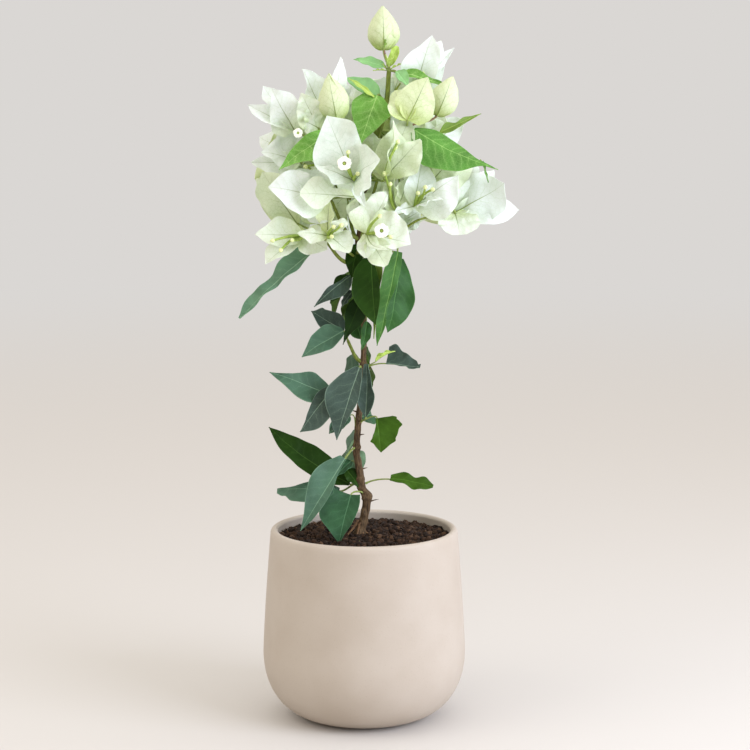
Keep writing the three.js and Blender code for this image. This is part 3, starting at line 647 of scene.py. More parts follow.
# The leaves. A row is x, y and z of the blade's foot, its bearing, rise and roll, its length and width,
# its colour, and what differs from the usual form. Each list hangs on a point of the stem or a bough.
LEAVES = {
    "leaf_low_front": ((-1, -2, 157), [
        (-9, -10, 157, -24, -57, 15, 36, 26, "jade", dict(fold=14, bend=24, edges=(
            (7, 8.5, 8, 6.5, 3, 0), (8, 14.5, 17.5, 17, 8.5, 0)),
            bumps=((0.02, 1, 4, 0.06), (0.4, 1, 1.4, 0.05)))),
    ]),
    "leaf_low_right": ((1, -1, 163), [
        (18, -4, 167, 82, -9, -40, 30, 14, "moss", dict(fold=2, bend=24, wave=1.2, edges=(
            (3, 6, 5, 4, 5, 1.5), (2, 3, 4.5, 6, 5, 1)))),
    ]),
    "leaves_low_left": ((-4, 1, 163), [
        (-10, 4, 162, -94, 35, 54, 68, 24, "deep", dict(bend=-10, fold=12, sweep=-0.04, wave=0.8, edges=(
            (2, 9, 10.5, 9, 7, 0), (2, 9, 11, 10, 6, 0)))),
        (-17, 4, 157, -87, 2, 52, 43, 19, "sea", dict(bumps=((0.86, -1, -2.6, 0.05),), edges=(
            (3, 10, 12, 11.8, 11, 4), (2, 5, 6, 3.5, 1.5, 0.5)))),
        (-12, 2, 172, 62, -51, -30, 15, 11, "deep"),
        (-9, 3, 178, -60, -40, 30, 16, 10, "jade"),
    ]),
    "leaves_lower_left": ((-6, 0, 188), [
        (-13, -10, 182, -62, -54, 56, 58, 27, "sea", dict(bend=20, fold=10, edges=(
            (1, 1.8, 4.3, 4.8, 3.5, 0), (4, 11.5, 13.4, 9.8, 4.2, 0)))),
        (-10, -4, 211, -73, -39, 40, 19, 13, "sea"),
    ]),
    "leaves_lower_right": ((-2, -1, 206), [
        (1, -10, 211, 161, 87, 0, 36, 12, "slate", dict(bend=-20, edges=(
            (1, 5, 6, 4, 3, 1.5), (1, 5.5, 6.5, 4, 2.5, 1.5)))),
        (9, -4, 209, 17, -69, -15, 24, 20, "moss", dict(fold=6, edges=(
            (9.5, 15.3, 14, 11.8, 7, 0), (1, 1.5, 3, 4.9, 3.5, 0)),
            bumps=((0.04, -1, 2.5, 0.05), (0.3, -1, 1.6, 0.05), (0.72, -1, 1.8, 0.05),
                   (0.66, 1, 1.8, 0.05)))),
    ]),
    "leaves_middle_left": ((-3, -1, 236), [
        (-22, -2, 224, -82, 22, 60, 46, 22, "sea", dict(edges=(
            (3, 10.5, 14, 10, 5.5, 0), (3, 8, 9.9, 6, 2, 0)))),
        (-20, -10, 232, -71, -51, 55, 39, 23, "slate", dict(edges=(
            (2, 9, 12, 12, 9, 0), (2, 6, 6, 4, 1.5, 0)))),
        (-3, -12, 245, -44, -65, 30, 52, 24, "slate", dict(fold=9, edges=(
            (2, 5.2, 6.7, 5.4, 2.2, 0), (3, 11.5, 16.6, 14, 6.5, 0)))),
        (-12, 2, 214, -40, -40, 30, 20, 12, "slate"),
    ]),
    "leaves_middle_right": ((1, -1, 243), [
        (15, -4, 247, 75, -5, -45, 24, 19, "slate", dict(bend=6, edges=(
            (12, 14, 10, 7.5, 5.4, 2.5), (1, 1, 1, 1.2, 2.6, 1)),
            bumps=((0.93, -1, -1.6, 0.04), (0.7, 1, 1.2, 0.06)))),
        (8, -6, 249, 80, 26, -20, 15, 6, "lime", dict(cup=70, bend=30)),
    ]),
    "leaves_shoot": ((-11, -1, 262), [
        (-14, -4, 269, -71, -29, 50, 34, 22, "sea", dict(edges=(
            (2, 6, 8, 7.5, 4, 0), (3, 9, 10, 8, 4, 0)))),
        (-14, 4, 268, -100, 30, 62, 26, 17, "slate", dict(bumps=((0.8, 1, 2.2, 0.08),))),
    ]),
    "leaves_upper_left": ((-1, -1, 290), [
        (-9, -6, 307, -72, -38, 54, 33, 14, "slate", dict(edges=(
            (2, 8, 9, 6.5, 2.5, 0), (1, 1.5, 2.5, 3, 1.5, 0)))),
        (-10, 2, 306, -110, -54, 62, 24, 13, "deep"),
        (-8, 6, 295, -120, -53, 62, 14, 9, "slate"),
        (-1, -8, 293, -47, -61, 25, 36, 18, "shade", dict(edges=(
            (2, 9, 10, 7, 2.2, 0), (2, 6.5, 6.5, 4, 1.5, 0)))),
        (2, -8, 276, -29, -69, 60, 20, 8, "grass"),
    ]),
    "leaves_under_crown": ((-4, -1, 318), [
        (5, -12, 321, 13, -75, -25, 47, 26, "deep", dict(fold=4, edges=(
            (1, 3, 5, 5, 3, 0), (4, 11.5, 14, 13.4, 8, 0)))),
        (23, -15, 324, -74, -77, 96, 65, 18, "fresh", dict(fold=4, bend=8, cup=0, wave=0.9, edges=(
            (3, 4.5, 2.5, 1.2, 1.7, 0), (3, 7.3, 8.2, 7.2, 4.9, 0)))),
        (8, -12, 323, -19, -86, 19, 58, 8, "olive", dict(bend=8, edges=(
            (2, 5, 3.4, 2, 1.2, 0), (1.5, 1.5, 1, 0.8, 0.5, 0)))),
        (24, 2, 318, -54, -79, 84, 51, 19, "grass", dict(rumple=0.9, edges=(
            (3, 9, 13, 14.5, 10, 0), (2, 9, 11, 11, 7, 0)))),
        (-4, -2, 328, -30, -70, 10, 24, 14, "deep"),
        (4, 4, 332, 30, -70, 0, 26, 15, "deep"),
    ]),
    "leaf_long_left": ((-24, -16, 331), [
        (-28, -18, 330, -84, -42, 55, 75, 17, "mist", dict(wave=1.9, waves=3.6, fold=5, edges=(
            (1, 2.2, 3.6, 2, 2, 0.5), (3, 9.2, 9, 5, 6.6, 1)))),
    ]),
    "leaf_crown_left": ((-20, -17, 401), [
        (-12, -22, 409, -65, -31, 45, 56, 24, "bright", dict(fold=14, bend=20, edges=(
            (2, 10, 16, 15, 5, 0), (1, 4.5, 7, 7.5, 4, 0)))),
    ]),
    "leaves_crown_front": ((14, -1, 421), [
        (9, -12, 428, -40, -61, 34, 39, 24, "bright", dict(fold=-14, vein=0.22, edges=(
            (4, 12.4, 11, 7.2, 2.8, 0), (9, 14.6, 13, 8.6, 4.2, 0)))),
        (7, -13, 427, -95, 36, 50, 21, 4, "lime", dict(cup=10, edges=(
            (0.5, 2, 2.6, 2.4, 1.6, 0), (0.5, 1.4, 1.6, 1.6, 1, 0)))),
        (10, -6, 426, -101, 31, 50, 26, 15, "pale", dict(bend=26, edges=(
            (1, 6, 6, 5, 4, 0), (2, 7, 8.3, 6.8, 4, 0)))),
    ]),
    "leaves_crown_right": ((30, -15, 404), [
        (33, -27, 406, 74, -24, -50, 63, 24, "spring", dict(fold=-16, bend=8, sweep=0.05, vein=0.18, edges=(
            (2, 9.5, 8.8, 6, 1.8, 0), (3, 16, 17, 12, 2.6, 0)))),
        (77.8, -40, 385.5, 90, -74, -60, 14.5, 2.4, "spring", dict(node=(76.5, -40, 386.5), bend=36, edges=(
            (1, 0.9, 0.8, 0.6, 0.5, 0), (1, 0.9, 0.8, 0.6, 0.5, 0)))),
        (51, 0, 403, 106, 23, -76, 32, 8, "olive", dict(edges=(
            (0.5, 4.5, 1.5, 2.8, 1, 0), (1, 3, 2.5, 1.5, 0.8, 0)))),
    ]),
    "leaves_top": ((17, -1, 444), [
        (14, -2, 447, -101, 14, 49, 22, 8, "pale"),
        (16, 0, 447, 90, 64, -85, 15, 8, "lime", dict(edges=(
            (1, 2.5, 2.5, 2.5, 3, 1), (1, 3, 3.5, 3.5, 3, 1)))),
        (22, -6, 444, 53, -45, -42, 14, 9, "pale", dict(edges=(
            (1, 4.5, 5, 4, 2, 0), (1, 3, 3.5, 2.5, 1.5, 0)))),
        (24, -2, 443, 74, -16, -47, 38, 11, "bright", dict(fold=16, bend=24, edges=(
            (2, 4.7, 3.8, 2, 1.2, 0), (2, 4.4, 2, 3, 2, 0)))),
        (13.4, -9.6, 460, 10, 84, 60, 6, 2.6, "moss", dict(bend=30, cup=60)),
        (15, -2, 446, -120, 40, 0, 8, 2.2, "lime"),
        (16, -2, 447, -20, 62, 0, 9, 2.2, "lime"),
        (17, -2, 447, 40, 55, 0, 9, 2.2, "lime"),
        (18, -2, 446, 80, 20, 0, 9, 2.2, "lime"),
        (14, -1, 445, -80, -8, 0, 8, 1.8, "lime"),
    ]),
    "leaves_back_low": ((-3, 2, 200), [
        (-5, 12, 194, 192, -42, 66, 46, 21, "sea", dict(bend=30)),
        (-3, 11, 207, 168, -8, -62, 34, 17, "jade", dict(bend=46, fold=20)),
        (-5, 9, 184, 184, -60, 10, 30, 15, "slate", dict(bend=10)),
    ]),
    "leaves_back_middle": ((-1, 2, 246), [
        (-4, 12, 243, 190, -22, 64, 50, 23, "jade", dict(bend=42, wave=1.2)),
        (0, 11, 254, 170, -52, -74, 40, 20, "deep", dict(bend=12)),
        (-2, 10, 262, 184, 18, 30, 26, 13, "grass", dict(bend=60, fold=22)),
    ]),
    "leaves_back_high": ((-3, 2, 302), [
        (-4, 14, 296, 188, -48, 54, 46, 23, "deep", dict(bend=28, wave=1.2)),
        (-2, 12, 306, 166, -28, -66, 40, 20, "sea", dict(bend=50)),
        (-8, 10, 309, 220, -58, 20, 40, 19, "grass", dict(bend=16)),
        (-4, 8, 278, 176, 4, 60, 30, 15, "jade", dict(bend=40, fold=20)),
    ]),
    "leaves_crown_back": ((6, 2, 382), [
        (8, 42, 376, 175, -35, 0, 46, 24, "grass"), (-12, 34, 388, 215, -20, 0, 44, 22, "bright"),
    ]),
}
# Each piece joins the leaves of some masses
LEAF_PIECES = {
    "leaves_lower": ["leaf_low_front", "leaf_low_right", "leaves_low_left", "leaves_lower_left",
                     "leaves_lower_right", "leaves_back_low"],
    "leaves_middle": ["leaves_middle_left", "leaves_middle_right", "leaves_shoot", "leaves_back_middle"],
    "leaves_upper": ["leaves_upper_left", "leaves_under_crown", "leaf_long_left", "leaves_back_high"],
    "leaves_crown": ["leaf_crown_left", "leaves_crown_front", "leaves_top", "leaves_crown_back"],
    "leaves_crown_side": ["leaves_crown_right"],
}

# Heads

def spray(at, colour, bracts, flowers=()):
    """The row of an open head.

    It has the place where its three bracts join, its colour, and its bracts: the place of a bract's tip,
    its width, the bearing and rise that its inner side faces, and what differs from the usual form. A
    face of None looks along the head's axis. Flowers are the places of their ends and their kinds, or
    None for the usual ones.
    """
    return SimpleNamespace(at=at, colour=colour, bracts=bracts, flowers=flowers, stalk="stalk")


def bud(at, long, broad, plump, lean=(-60, 88), stalk="stalk"):
    """The row of a closed head: its place, length, breadth for its length, how far its bracts bend, the
    bearing and rise of its axis, and the look of its stalk.
    """
    return SimpleNamespace(at=at, colour="young", bracts=None, flowers=(), stalk=stalk,
                           long=long, broad=broad, plump=plump, lean=lean)


# The heads of each mass that the photograph shows, and some behind them. Heads coloured green have painted
# shade in their greyer colour
HEADS = {
    "bud_top": [
        bud((13.5, 0, 459), 28, 1.12, 206, stalk="tan"),
    ],
    "bracts_high_left": [
        bud((-17.5, -26, 412), 31, 0.94, 190, lean=(-56, 77)),
        spray((-27, -10, 413), "white", [
            ((-41, -16, 445.4), 22, (20, 15), dict(edges=(
                (1.5, 7, 7.5, 4.5, 1.5, 0), (1.5, 7, 10, 11.5, 7, 0)))),
            ((-15.5, -16, 453), 12, (20, 0), dict(bend=40, curl=50, edges=(
                (1, 5, 6, 5, 3.2, 0), (1, 5, 6, 6, 4.4, 0)))),
            ((-32, 8, 438), 24, (0, 10))]),
        spray((-45.8, -16, 404.5), "white", [
            ((-60.6, -22, 432.4), 28, (-15, 15), dict(edges=(
                (8, 13.5, 11.5, 8.5, 4, 0), (3, 9.5, 12.5, 12.5, 9, 0)))),
            ((-67.5, -4, 434.1), 20, (30, 20), dict(edges=((2, 7, 9.5, 9, 6.5, 0), (2, 8, 10, 9, 6, 0)))),
            ((-77.3, -10, 421.6), 14, (0, 20), dict(fold=24, edges=(
                (1, 5, 8, 8, 6, 0), (1, 4, 6.5, 6, 4, 0))))],
            [((-43, -39, 404), "small")]),
        spray((-30, -24, 406.8), "cream", [
            ((-41.3, -28, 429.8), 22, (0, 10), dict(wave=3.0, waves=3.4, crinkle=0.4)),
            ((-26.3, -22, 426), 22, (0, 10), dict(wave=3.0, waves=3.4, crinkle=0.4)),
            ((-40, -28, 412), 18, (0, 10))]),
        spray((-36, -2, 402), "cream", [
            ((-56, 2, 410), 26, (0, 10)), ((-40, 6, 424), 26, (0, 10)), ((-52, -4, 390), 24, (0, 20))]),
        spray((-8, 4, 408), "cream", [
            ((-20, 6, 430), 26, (0, 10)), ((6, 6, 420), 24, (0, 10)), ((-4, 20, 426), 24, None)]),
    ],
    "bracts_left": [
        spray((-42.7, -10, 383.8), "white", [
            ((-68.4, -18, 390.7), 24, (-10, 30), dict(edges=(
                (2, 10, 11, 9, 5, 0), (2, 9.5, 13.5, 13, 7.5, 0)))),
            ((-75.9, -4, 383.4), 20, (-20, -10), dict(fold=24)),
            ((-56.2, -6, 406.2), 26, (0, 10))]),
        spray((-23.5, -36, 360.6), "white", [
            ((-62.6, -44, 368.9), 36, (-15, 20), dict(edges=(
                (1.5, 14.5, 18.5, 14, 8, 0), (1.5, 8, 12, 14.5, 10, 0)))),
            ((-46, -34, 379), 24, (-10, 30), dict(curl=50, flip=30)),
            ((-36, -38, 346), 26, (0, 20), dict(edges=(
                (2, 7, 10, 11, 8, 1), (2, 7, 9, 9, 7, 1))))]),
        spray((-4.3, -42, 362.2), "cream", [
            ((-41.5, -50, 364.7), 20, (0, 25), dict(fold=2, edges=(
                (1, 1.2, 1.5, 9.5, 10.5, 1.5), (1.5, 4, 5.5, 10.5, 10.5, 1.5)))),
            ((0, -24, 348), 20, (0, 10)), ((-10, -20, 380), 22, (0, 10))]),
        spray((-30, -6, 372), "cream", [
            ((-52, -4, 362), 28, (0, 20)), ((-44, -2, 398), 28, (0, 10)), ((-22, -8, 396), 28, (0, 10))]),
    ],
    "bracts_low_left": [
        # Painted shade: the green colour greys this head's bracts
        spray((-44.7, -14, 342.6), "green", [
            ((-67.6, -20, 377.6), 26, (-10, 10), dict(edges=(
                (2, 9.5, 11.5, 12.5, 11, 0), (2, 9.5, 11.5, 12.5, 11, 0)))),
            ((-72, -2, 372), 24, (-10, 10)), ((-53, -12, 326), 24, (0, 20))]),
        spray((-40, -30, 336), "cream", [
            ((-71.7, -38, 336.9), 26, (10, 25), dict(edges=(
                (1.5, 8, 9.5, 9.5, 5.5, 0), (1.5, 9, 12.5, 10.5, 5, 0)))),
            ((-65.3, -38, 317.7), 20, (10, 35), dict(edges=(
                (1.5, 5.5, 6, 5, 2.6, 0), (1.5, 5.5, 6.5, 7.5, 7.5, 0)))),
            ((-24, -34, 327), 22, (0, 10))],
            [((-59, -44, 334), "knob"), ((-54, -46, 328), "knob"), ((-46.5, -44, 334), "knob")]),
        spray((-23.4, -42, 336.6), "cream", [
            ((-22.4, -42, 359.6), 14, (-30, 10), dict(colour="young", cup=40, edges=(
                (1.3, 4.5, 6.4, 7, 4.6, 0), (1.3, 4, 5.4, 5.4, 3.6, 0)))),
            ((-43.5, -46, 338.7), 14, (0, 30), dict(bend=30, edges=(
                (1, 5, 7.4, 7.5, 4.5, 0), (0.7, 2, 2.7, 2.7, 2, 0)))),
            ((-9, -50, 326.5), 20, (10, 40), dict(bend=30, edges=(
                (1, 6, 9, 10, 7.5, 1), (1, 6, 8, 8, 6, 1)))),
            ((-9, -46, 346), 12, (-50, 0), dict(bend=90, curl=60, cup=10, edges=(
                (1, 3, 4, 4, 3, 0), (0.7, 3, 4, 4, 3, 0))))],
            [((-20, -52, 343), "knob"), ((-15, -52, 344), "knob"), ((-21, -54, 337), "knob")]),
        # Painted shade: an inner head, greyed green for the shade inside the crown
        spray((-28, -10, 344), "green", [
            ((-12, -12, 362), 26, (0, 10)), ((-36, -8, 366), 28, (0, 10)), ((-18, -14, 330), 20, (0, 10))]),
    ],
    "bracts_low_front": [
        spray((2.2, -46, 338), "cream", [
            ((16, -40, 365.5), 26, (10, 20), dict(cup=18, edges=(
                (9, 17, 14, 10, 8, 0), (1, 1.5, 1.5, 2, 2.5, 0)))),
            ((31.1, -50, 332), 32, (5, 20), dict(edges=(
                (6.5, 17, 18, 16.5, 11, 0), (1.5, 5, 8, 8, 4.5, 0)))),
            # Painted shade: this lobe faces down, and the green colour paints its shade
            ((14.7, -54, 318), 22, (0, 5), dict(colour="green", cup=10, edges=(
                (2, 6, 8, 9.5, 7.5, 1.5), (2, 5, 7, 8, 7, 1.5)))),
            ((1.5, -52, 323), 14, (-10, 20), dict(cup=10, edges=(
                (3, 5, 6, 6.5, 5, 1), (3, 5, 6, 6.5, 4.5, 1)))),
            ((16.5, -62, 328.5), 6, (0, 40), dict(sweep=0.16, cup=10, wave=0.4, edges=(
                (0.6, 1.6, 2, 2.2, 1.6, 0), (0.6, 1.8, 2.4, 2, 1.4, 0))))],
            [((11.7, -60, 341.4), "open"), ((10, -58, 350.4), "knob"), ((17, -60, 337.5), "knob")]),
        # Painted shade: an inner head, greyed green for the shade inside the crown
        spray((8, -16, 346), "green", [
            ((-8, -16, 362), 26, (0, 10)), ((26, -14, 352), 26, (0, 10)), ((12, -12, 372), 24, (0, 10))]),
    ],
    "bracts_front": [
        spray((-6, -46, 373), "cool", [
            ((-23.8, -46, 415.2), 38, (-5, 12), dict(cup=22, edges=(
                (2, 16, 20, 18, 9.5, 0), (2, 9, 13.5, 14.5, 13.5, 0)))),
            ((10.1, -68, 388.4), 44, (-60, 13), dict(cup=26, edges=(
                (2, 13, 17, 17, 12, 0), (2, 14, 19, 19, 13, 0)))),
            ((-31.5, -56, 383.8), 14, (-10, 40), dict(edges=(
                (1.5, 6, 10.5, 10.5, 5.5, 0), (0.7, 2, 2.7, 2.7, 2, 0)))),
            ((1, -54, 356.5), 8, (-10, 25), dict(bend=44, wave=0.5, edges=(
                (1, 2.4, 3.2, 3, 2, 0), (1, 3, 4.4, 4, 2.4, 0))))],
            [((-12.4, -61, 385.1), "open"), ((-10, -58, 391.4), "knob"), ((-4, -58, 378), "knob")]),
        # Painted shade: the green colour greys this head's bracts
        spray((14, -36, 374), "green", [
            ((19, -38, 412.4), 24, (60, 0), dict(fold=10)),
            ((37.6, -42, 399.5), 24, (-20, 10), dict(edges=(
                (1.5, 6, 9, 8, 5, 1), (1.5, 8, 13, 15, 10, 1)))),
            ((30.7, -20, 414), 26, (0, 10))],
            [((22, -44, 397.6), "knob"), ((20.6, -42, 394), "knob")]),
        spray((0, -14, 384), "cream", [
            ((-4, -12, 410), 28, (0, 10)), ((20, -14, 396), 26, (0, 10)), ((-20, -16, 398), 26, (0, 10))]),
    ],
    "bracts_right": [
        # Painted shade: the green colour greys this head's bracts
        spray((21, -36, 353), "green", [
            ((19, -38, 381), 14, (-40, 5), dict(fold=14, edges=(
                (1, 4, 6.5, 6.5, 4, 0), (1, 4, 6, 5, 3, 0)))),
            ((13, -36, 369), 12, (0, 10)), ((30, -22, 374), 18, (20, 0))],
            [((17.5, -44, 370), "knob"), ((14, -44, 377), "knob")]),
        spray((33.3, -34, 355.5), "white", [
            ((61.9, -44, 376.8), 30, (10, 20), dict(edges=(
                (1, 4, 6, 4.5, 2.5, 0), (3, 16, 20.3, 19, 13, 0)))),
            ((38.6, -30, 386), 26, (0, 10), dict(edges=(
                (2, 8, 9, 7, 3, 0), (2, 8, 12, 12, 7, 0)))),
            ((52, -50, 361), 8, (0, 40), dict(curl=30, edges=((1, 2, 3, 3, 2, 0), (1, 4, 5, 4, 2, 0)))),
            ((20, -42, 352.5), 8, (0, 30), dict(edges=((1, 3, 4.5, 4.5, 3, 0), (1, 2, 3, 3, 2, 0))))],
            [((35.6, -46, 364.7), "knob"), ((40.2, -48, 368.5), "knob"), ((44.7, -48, 367.3), "knob")]),
        spray((60.4, -14, 349.8), "white", [
            ((93.8, -26, 370.5), 34, (180, -20), dict(cup=22, edges=(
                (2, 10, 15.5, 16, 13, 0), (2, 13, 19, 18, 10, 0)))),
            ((104, -12, 351.7), 22, (10, 20), dict(edges=((2, 9, 11, 9, 7, 0), (2, 9, 11, 11, 8, 0)))),
            ((88, 0, 378), 18, (0, 10), dict(curl=60))]),
        spray((61, -20, 350), "cream", [
            ((63.5, -30, 336.5), 30, (10, 5), dict(bend=30, cup=20, wave=1.6, crinkle=0.3, edges=(
                (3, 10.5, 14, 15, 12.5, 5), (3, 10.5, 13.5, 14, 12, 5)))),
            ((52, -10, 346), 14, (0, -20)), ((72, -8, 346), 14, (0, -20))]),
        # Painted shadow: this head lies under a leaf, and the green colour paints the leaf's shadow on it
        spray((46, -18, 372), "green", [
            ((60.6, -24, 389), 24, (0, 10)), ((73, -10, 381), 26, (0, 10)), ((38, -10, 388), 24, None)]),
        # Painted shade: an inner head, greyed green for the shade inside the crown
        spray((42, -4, 364), "green", [
            ((64, 0, 388), 28, (0, 10)), ((36, 2, 392), 28, (0, 10)), ((70, 4, 358), 28, (0, 10))]),
        spray((26, -22, 345), "cool", [
            ((14, -24, 362), 22, (0, 10)), ((38, -22, 352), 20, (0, 10)), ((30, -26, 336), 16, (0, 10))]),
    ],
    "bracts_high_right": [
        spray((29, -32, 412), "young", [
            ((42.2, -34, 440.3), 26, (180, 0), dict(cup=22, rumple=0.2, wave=0.6, edges=(
                (8.5, 13.8, 13.6, 11.2, 6, 0), (5, 12.5, 13.4, 11.2, 7, 0)))),
            ((20, -18, 432), 20, (0, 10)), ((36, -16, 430), 18, (0, 10))]),
        bud((49, -14, 415.5), 27, 1.05, 205, lean=(79, 68), stalk="tan"),
        spray((34, 4, 429), "white", [
            ((45.6, -2, 467.9), 26, (-5, 10), dict(edges=(
                (2, 10, 13.8, 11.5, 5, 0), (2, 9, 12, 11.5, 9, 0)))),
            ((52.1, 16, 464.1), 26, (0, 10)),
            ((60.5, 4, 459.3), 18, (0, 10), dict(edges=((2, 7, 8, 6, 4, 0), (2, 4, 4.6, 3.4, 2, 0))))],
             None),
        spray((15, 14, 424), "white", [
            ((0, 10, 436), 24, (0, 10)), ((28, 20, 437), 26, (0, 10)), ((13, 30, 428), 24, None)],
             None),
        spray((34, 8, 398), "cream", [
            ((20, 6, 420), 26, (0, 10)), ((54, 8, 410), 26, (0, 10)), ((40, 14, 426), 26, None)]),
    ],
}
# Heads on the far side grow by rule: for each bough, how many, and the bearing and rise that they face
FAR_HEADS = {
    "bracts_back_low": (5, 195, 6),
    "bracts_back_right": (5, 162, 2),
    "bracts_back_left": (5, 235, -2),
    "bracts_back_high": (5, 170, -22),
}
# Heads that face the sides, behind those seen from the front: place, bearing, rise and size
SIDE_HEADS = {
    "bracts_low_left": [((-36, 10, 346), 262, -12, 0.85), ((-20, -2, 348), 300, -5, 0.6)],
    "bracts_left": [((-42, 12, 374), 262, 4, 0.95), ((-26, -12, 384), 292, 10, 0.75)],
    "bracts_high_left": [((-38, 12, 400), 258, 14, 0.8), ((-14, 12, 416), 240, 40, 0.65)],
    "bracts_right": [
        ((50, 12, 356), 98, -4, 0.6), ((26, 6, 352), 85, -5, 0.6), ((30, 10, 382), 80, 5, 0.75),
    ],
    "bracts_high_right": [((27, 18, 404), 100, 12, 0.7), ((18, 18, 424), 120, 40, 0.7)],
}
# Each piece joins the bracts of some masses
BRACT_PIECES = {
    "bracts_left_high": ["bracts_high_left"],
    "bracts_left_low": ["bracts_left", "bracts_low_left"],
    "bracts_middle": ["bracts_front", "bracts_low_front"],
    "bracts_right_low": ["bracts_right"],
    "bracts_right_high": ["bracts_high_right", "bud_top"],
    "bracts_back_a": ["bracts_back_low", "bracts_back_left"],
    "bracts_back_b": ["bracts_back_right", "bracts_back_high"],
}

# What a face can look like: a face holds its look's number
LOOKS = (
    ["pot", "soil", "crumb_dark", "crumb_brown", "crumb_pale", "bark", "twig", "root", "stalk", "tan",
     "calyx", "knob", "petal", "throat"]
    + [f"leaf_{name}_{side}" for name in LEAF_COLOURS for side in ("upper", "under")]
    + [f"bract_{name}" for name in BRACT_COLOURS]
)


# A star's profile, in shares of its radius and in millimetres of height at the radius it is drawn for:
# out over its upper side to the margin, and back under it into the tube
STAR_SHARE = np.array([0.02, 0.2, 0.24, 0.5, 0.97, 1.0, 0.97, 0.6, 0.36, 0.26, 0.16, 0.02])
STAR_LEVEL = np.array([-2.3, -2.0, -0.9, -0.25, 0.35, 0.52, 0.66, 0.32, 0.16, -0.1, -1.1, -1.5])
STAR_DRAWN = 5.3
STAR_RADIUS = {"open": 4.9, "small": 3.3}
STAR_SIDES = 60
# The bearing and rise that an open flower faces
STAR_FACE = (-4, 6)


def flower(start, end, kind, rng):
    """A flower: a green tube that swells near its foot, with a closed knob or a star at its end.

    The tube of a knob bows a little to one side by a half sine. That of a star bends until the star
    faces the front.
    """
    start, end = np.array(start, float), np.array(end, float)
    long = np.linalg.norm(end - start)
    way = (end - start) / long
    t = np.linspace(0, 1, 16)
    if kind == "knob":
        bow = unit(np.cross(way, rng.normal(size=3))) * long * 0.08
        path = start + (way * long) * t[:, None] + bow * np.sin(np.pi * t)[:, None]
    else:
        path = hermite_path(start, way * long, end, direction(*STAR_FACE) * long, len(t))
    radius = np.interp(t, [0, 0.12, 0.35, 0.6, 0.85, 1], [0.5, 0.85, 1.2, 0.95, 0.75, 0.85])
    slope = unit(path[-1] - path[-2])
    ending = knob(path[-1], slope) if kind == "knob" else star(path[-1], slope, STAR_RADIUS[kind])
    return [tube(path, radius, 10, LOOKS.index("calyx")), ending]


def knob(at, axis):
    """A closed flower: an egg, its radius a sine to a power of the share of the way up."""
    t = np.linspace(0.04, 0.985, 9)
    wide = 1.45 * np.sin(np.pi * t**0.85) ** 0.8
    return turned(wide, 3.6 * t - 0.8, 10, LOOKS.index("knob"), None, at, axis)


def star(at, axis, size):
    """An open flower with five lobes.

    The rim's radius follows the root of a cosine's square five times round, with a notch in the middle
    of each lobe, and the rim is ruffled by waves five and ten times round.
    """
    around = 2 * np.pi * np.arange(STAR_SIDES) / STAR_SIDES
    lobe = np.abs(np.cos(2.5 * around)) ** 0.7
    notch = np.exp(-((np.cos(2.5 * around) ** 2 - 1) / 0.08) ** 2)
    outline = 0.84 + 0.16 * lobe - 0.07 * notch
    open_part = np.clip((STAR_SHARE - 0.3) / 0.7, 0, 1)[:, None]
    scale = 1 - open_part * (1 - outline)
    ruffle = open_part**2 * (0.55 * np.cos(5 * around) + 0.3 * np.sin(10 * around + 1))
    petal, throat = LOOKS.index("petal"), LOOKS.index("throat")
    strips = np.array(2 * [throat] + 7 * [petal] + 2 * [throat])
    height = size / STAR_DRAWN
    lobes = (scale, ruffle * height)
    return turned(STAR_SHARE * size, STAR_LEVEL * height, STAR_SIDES, strips, lobes, at, axis)


def bract(foot, tip, face, wide, colour, rng, changes):
    """One bract, varied a little by chance."""
    form = dict(BRACT_FORM)
    form["bend"] += rng.uniform(-8, 12)
    form["cup"] += rng.uniform(-8, 10)
    form["twist"] += rng.uniform(-10, 10)
    form["waves"] += rng.uniform(-0.5, 0.8)
    form.update(changes)
    look = LOOKS.index(f"bract_{form.pop('colour', colour)}")
    body, spine, _ = blade(foot, tip, face, wide, (look, look), rng, form)
    rib_share = 0.55
    radius = np.linspace(0.42, 0.1, int(rib_share * len(spine[0])))
    return [body, tube(under_rib(spine, radius), radius, 7, LOOKS.index("calyx"))]


def closed_bracts(at, axis, row, rng):
    """Three bracts still folded to a pointed egg.

    Each starts outward, bends soonest near its foot, and runs in to meet the others at the tip.
    """
    patches = []
    side = unit(np.cross(axis, [0.0, 1.0, 0.0]))
    front = np.cross(axis, side)
    form = dict(bend=-row.plump, bend_power=0.55, curl=40, cup=74, flip=0, fold=4, wave=0.4, twist=0,
                powers=(0.34, 0.75), crinkle=0.15, rumple=0.35, rib=0.3, vein=0.2)
    for turn in np.radians([90, 210, 330]):
        out = np.cos(turn) * side + np.sin(turn) * front
        tip = at + axis * (row.long + rng.uniform(-0.8, 0.4)) + out * 0.4
        patches += bract(at + out * 0.6, tip, -out, row.long * row.broad, row.colour, rng, form)
    return patches


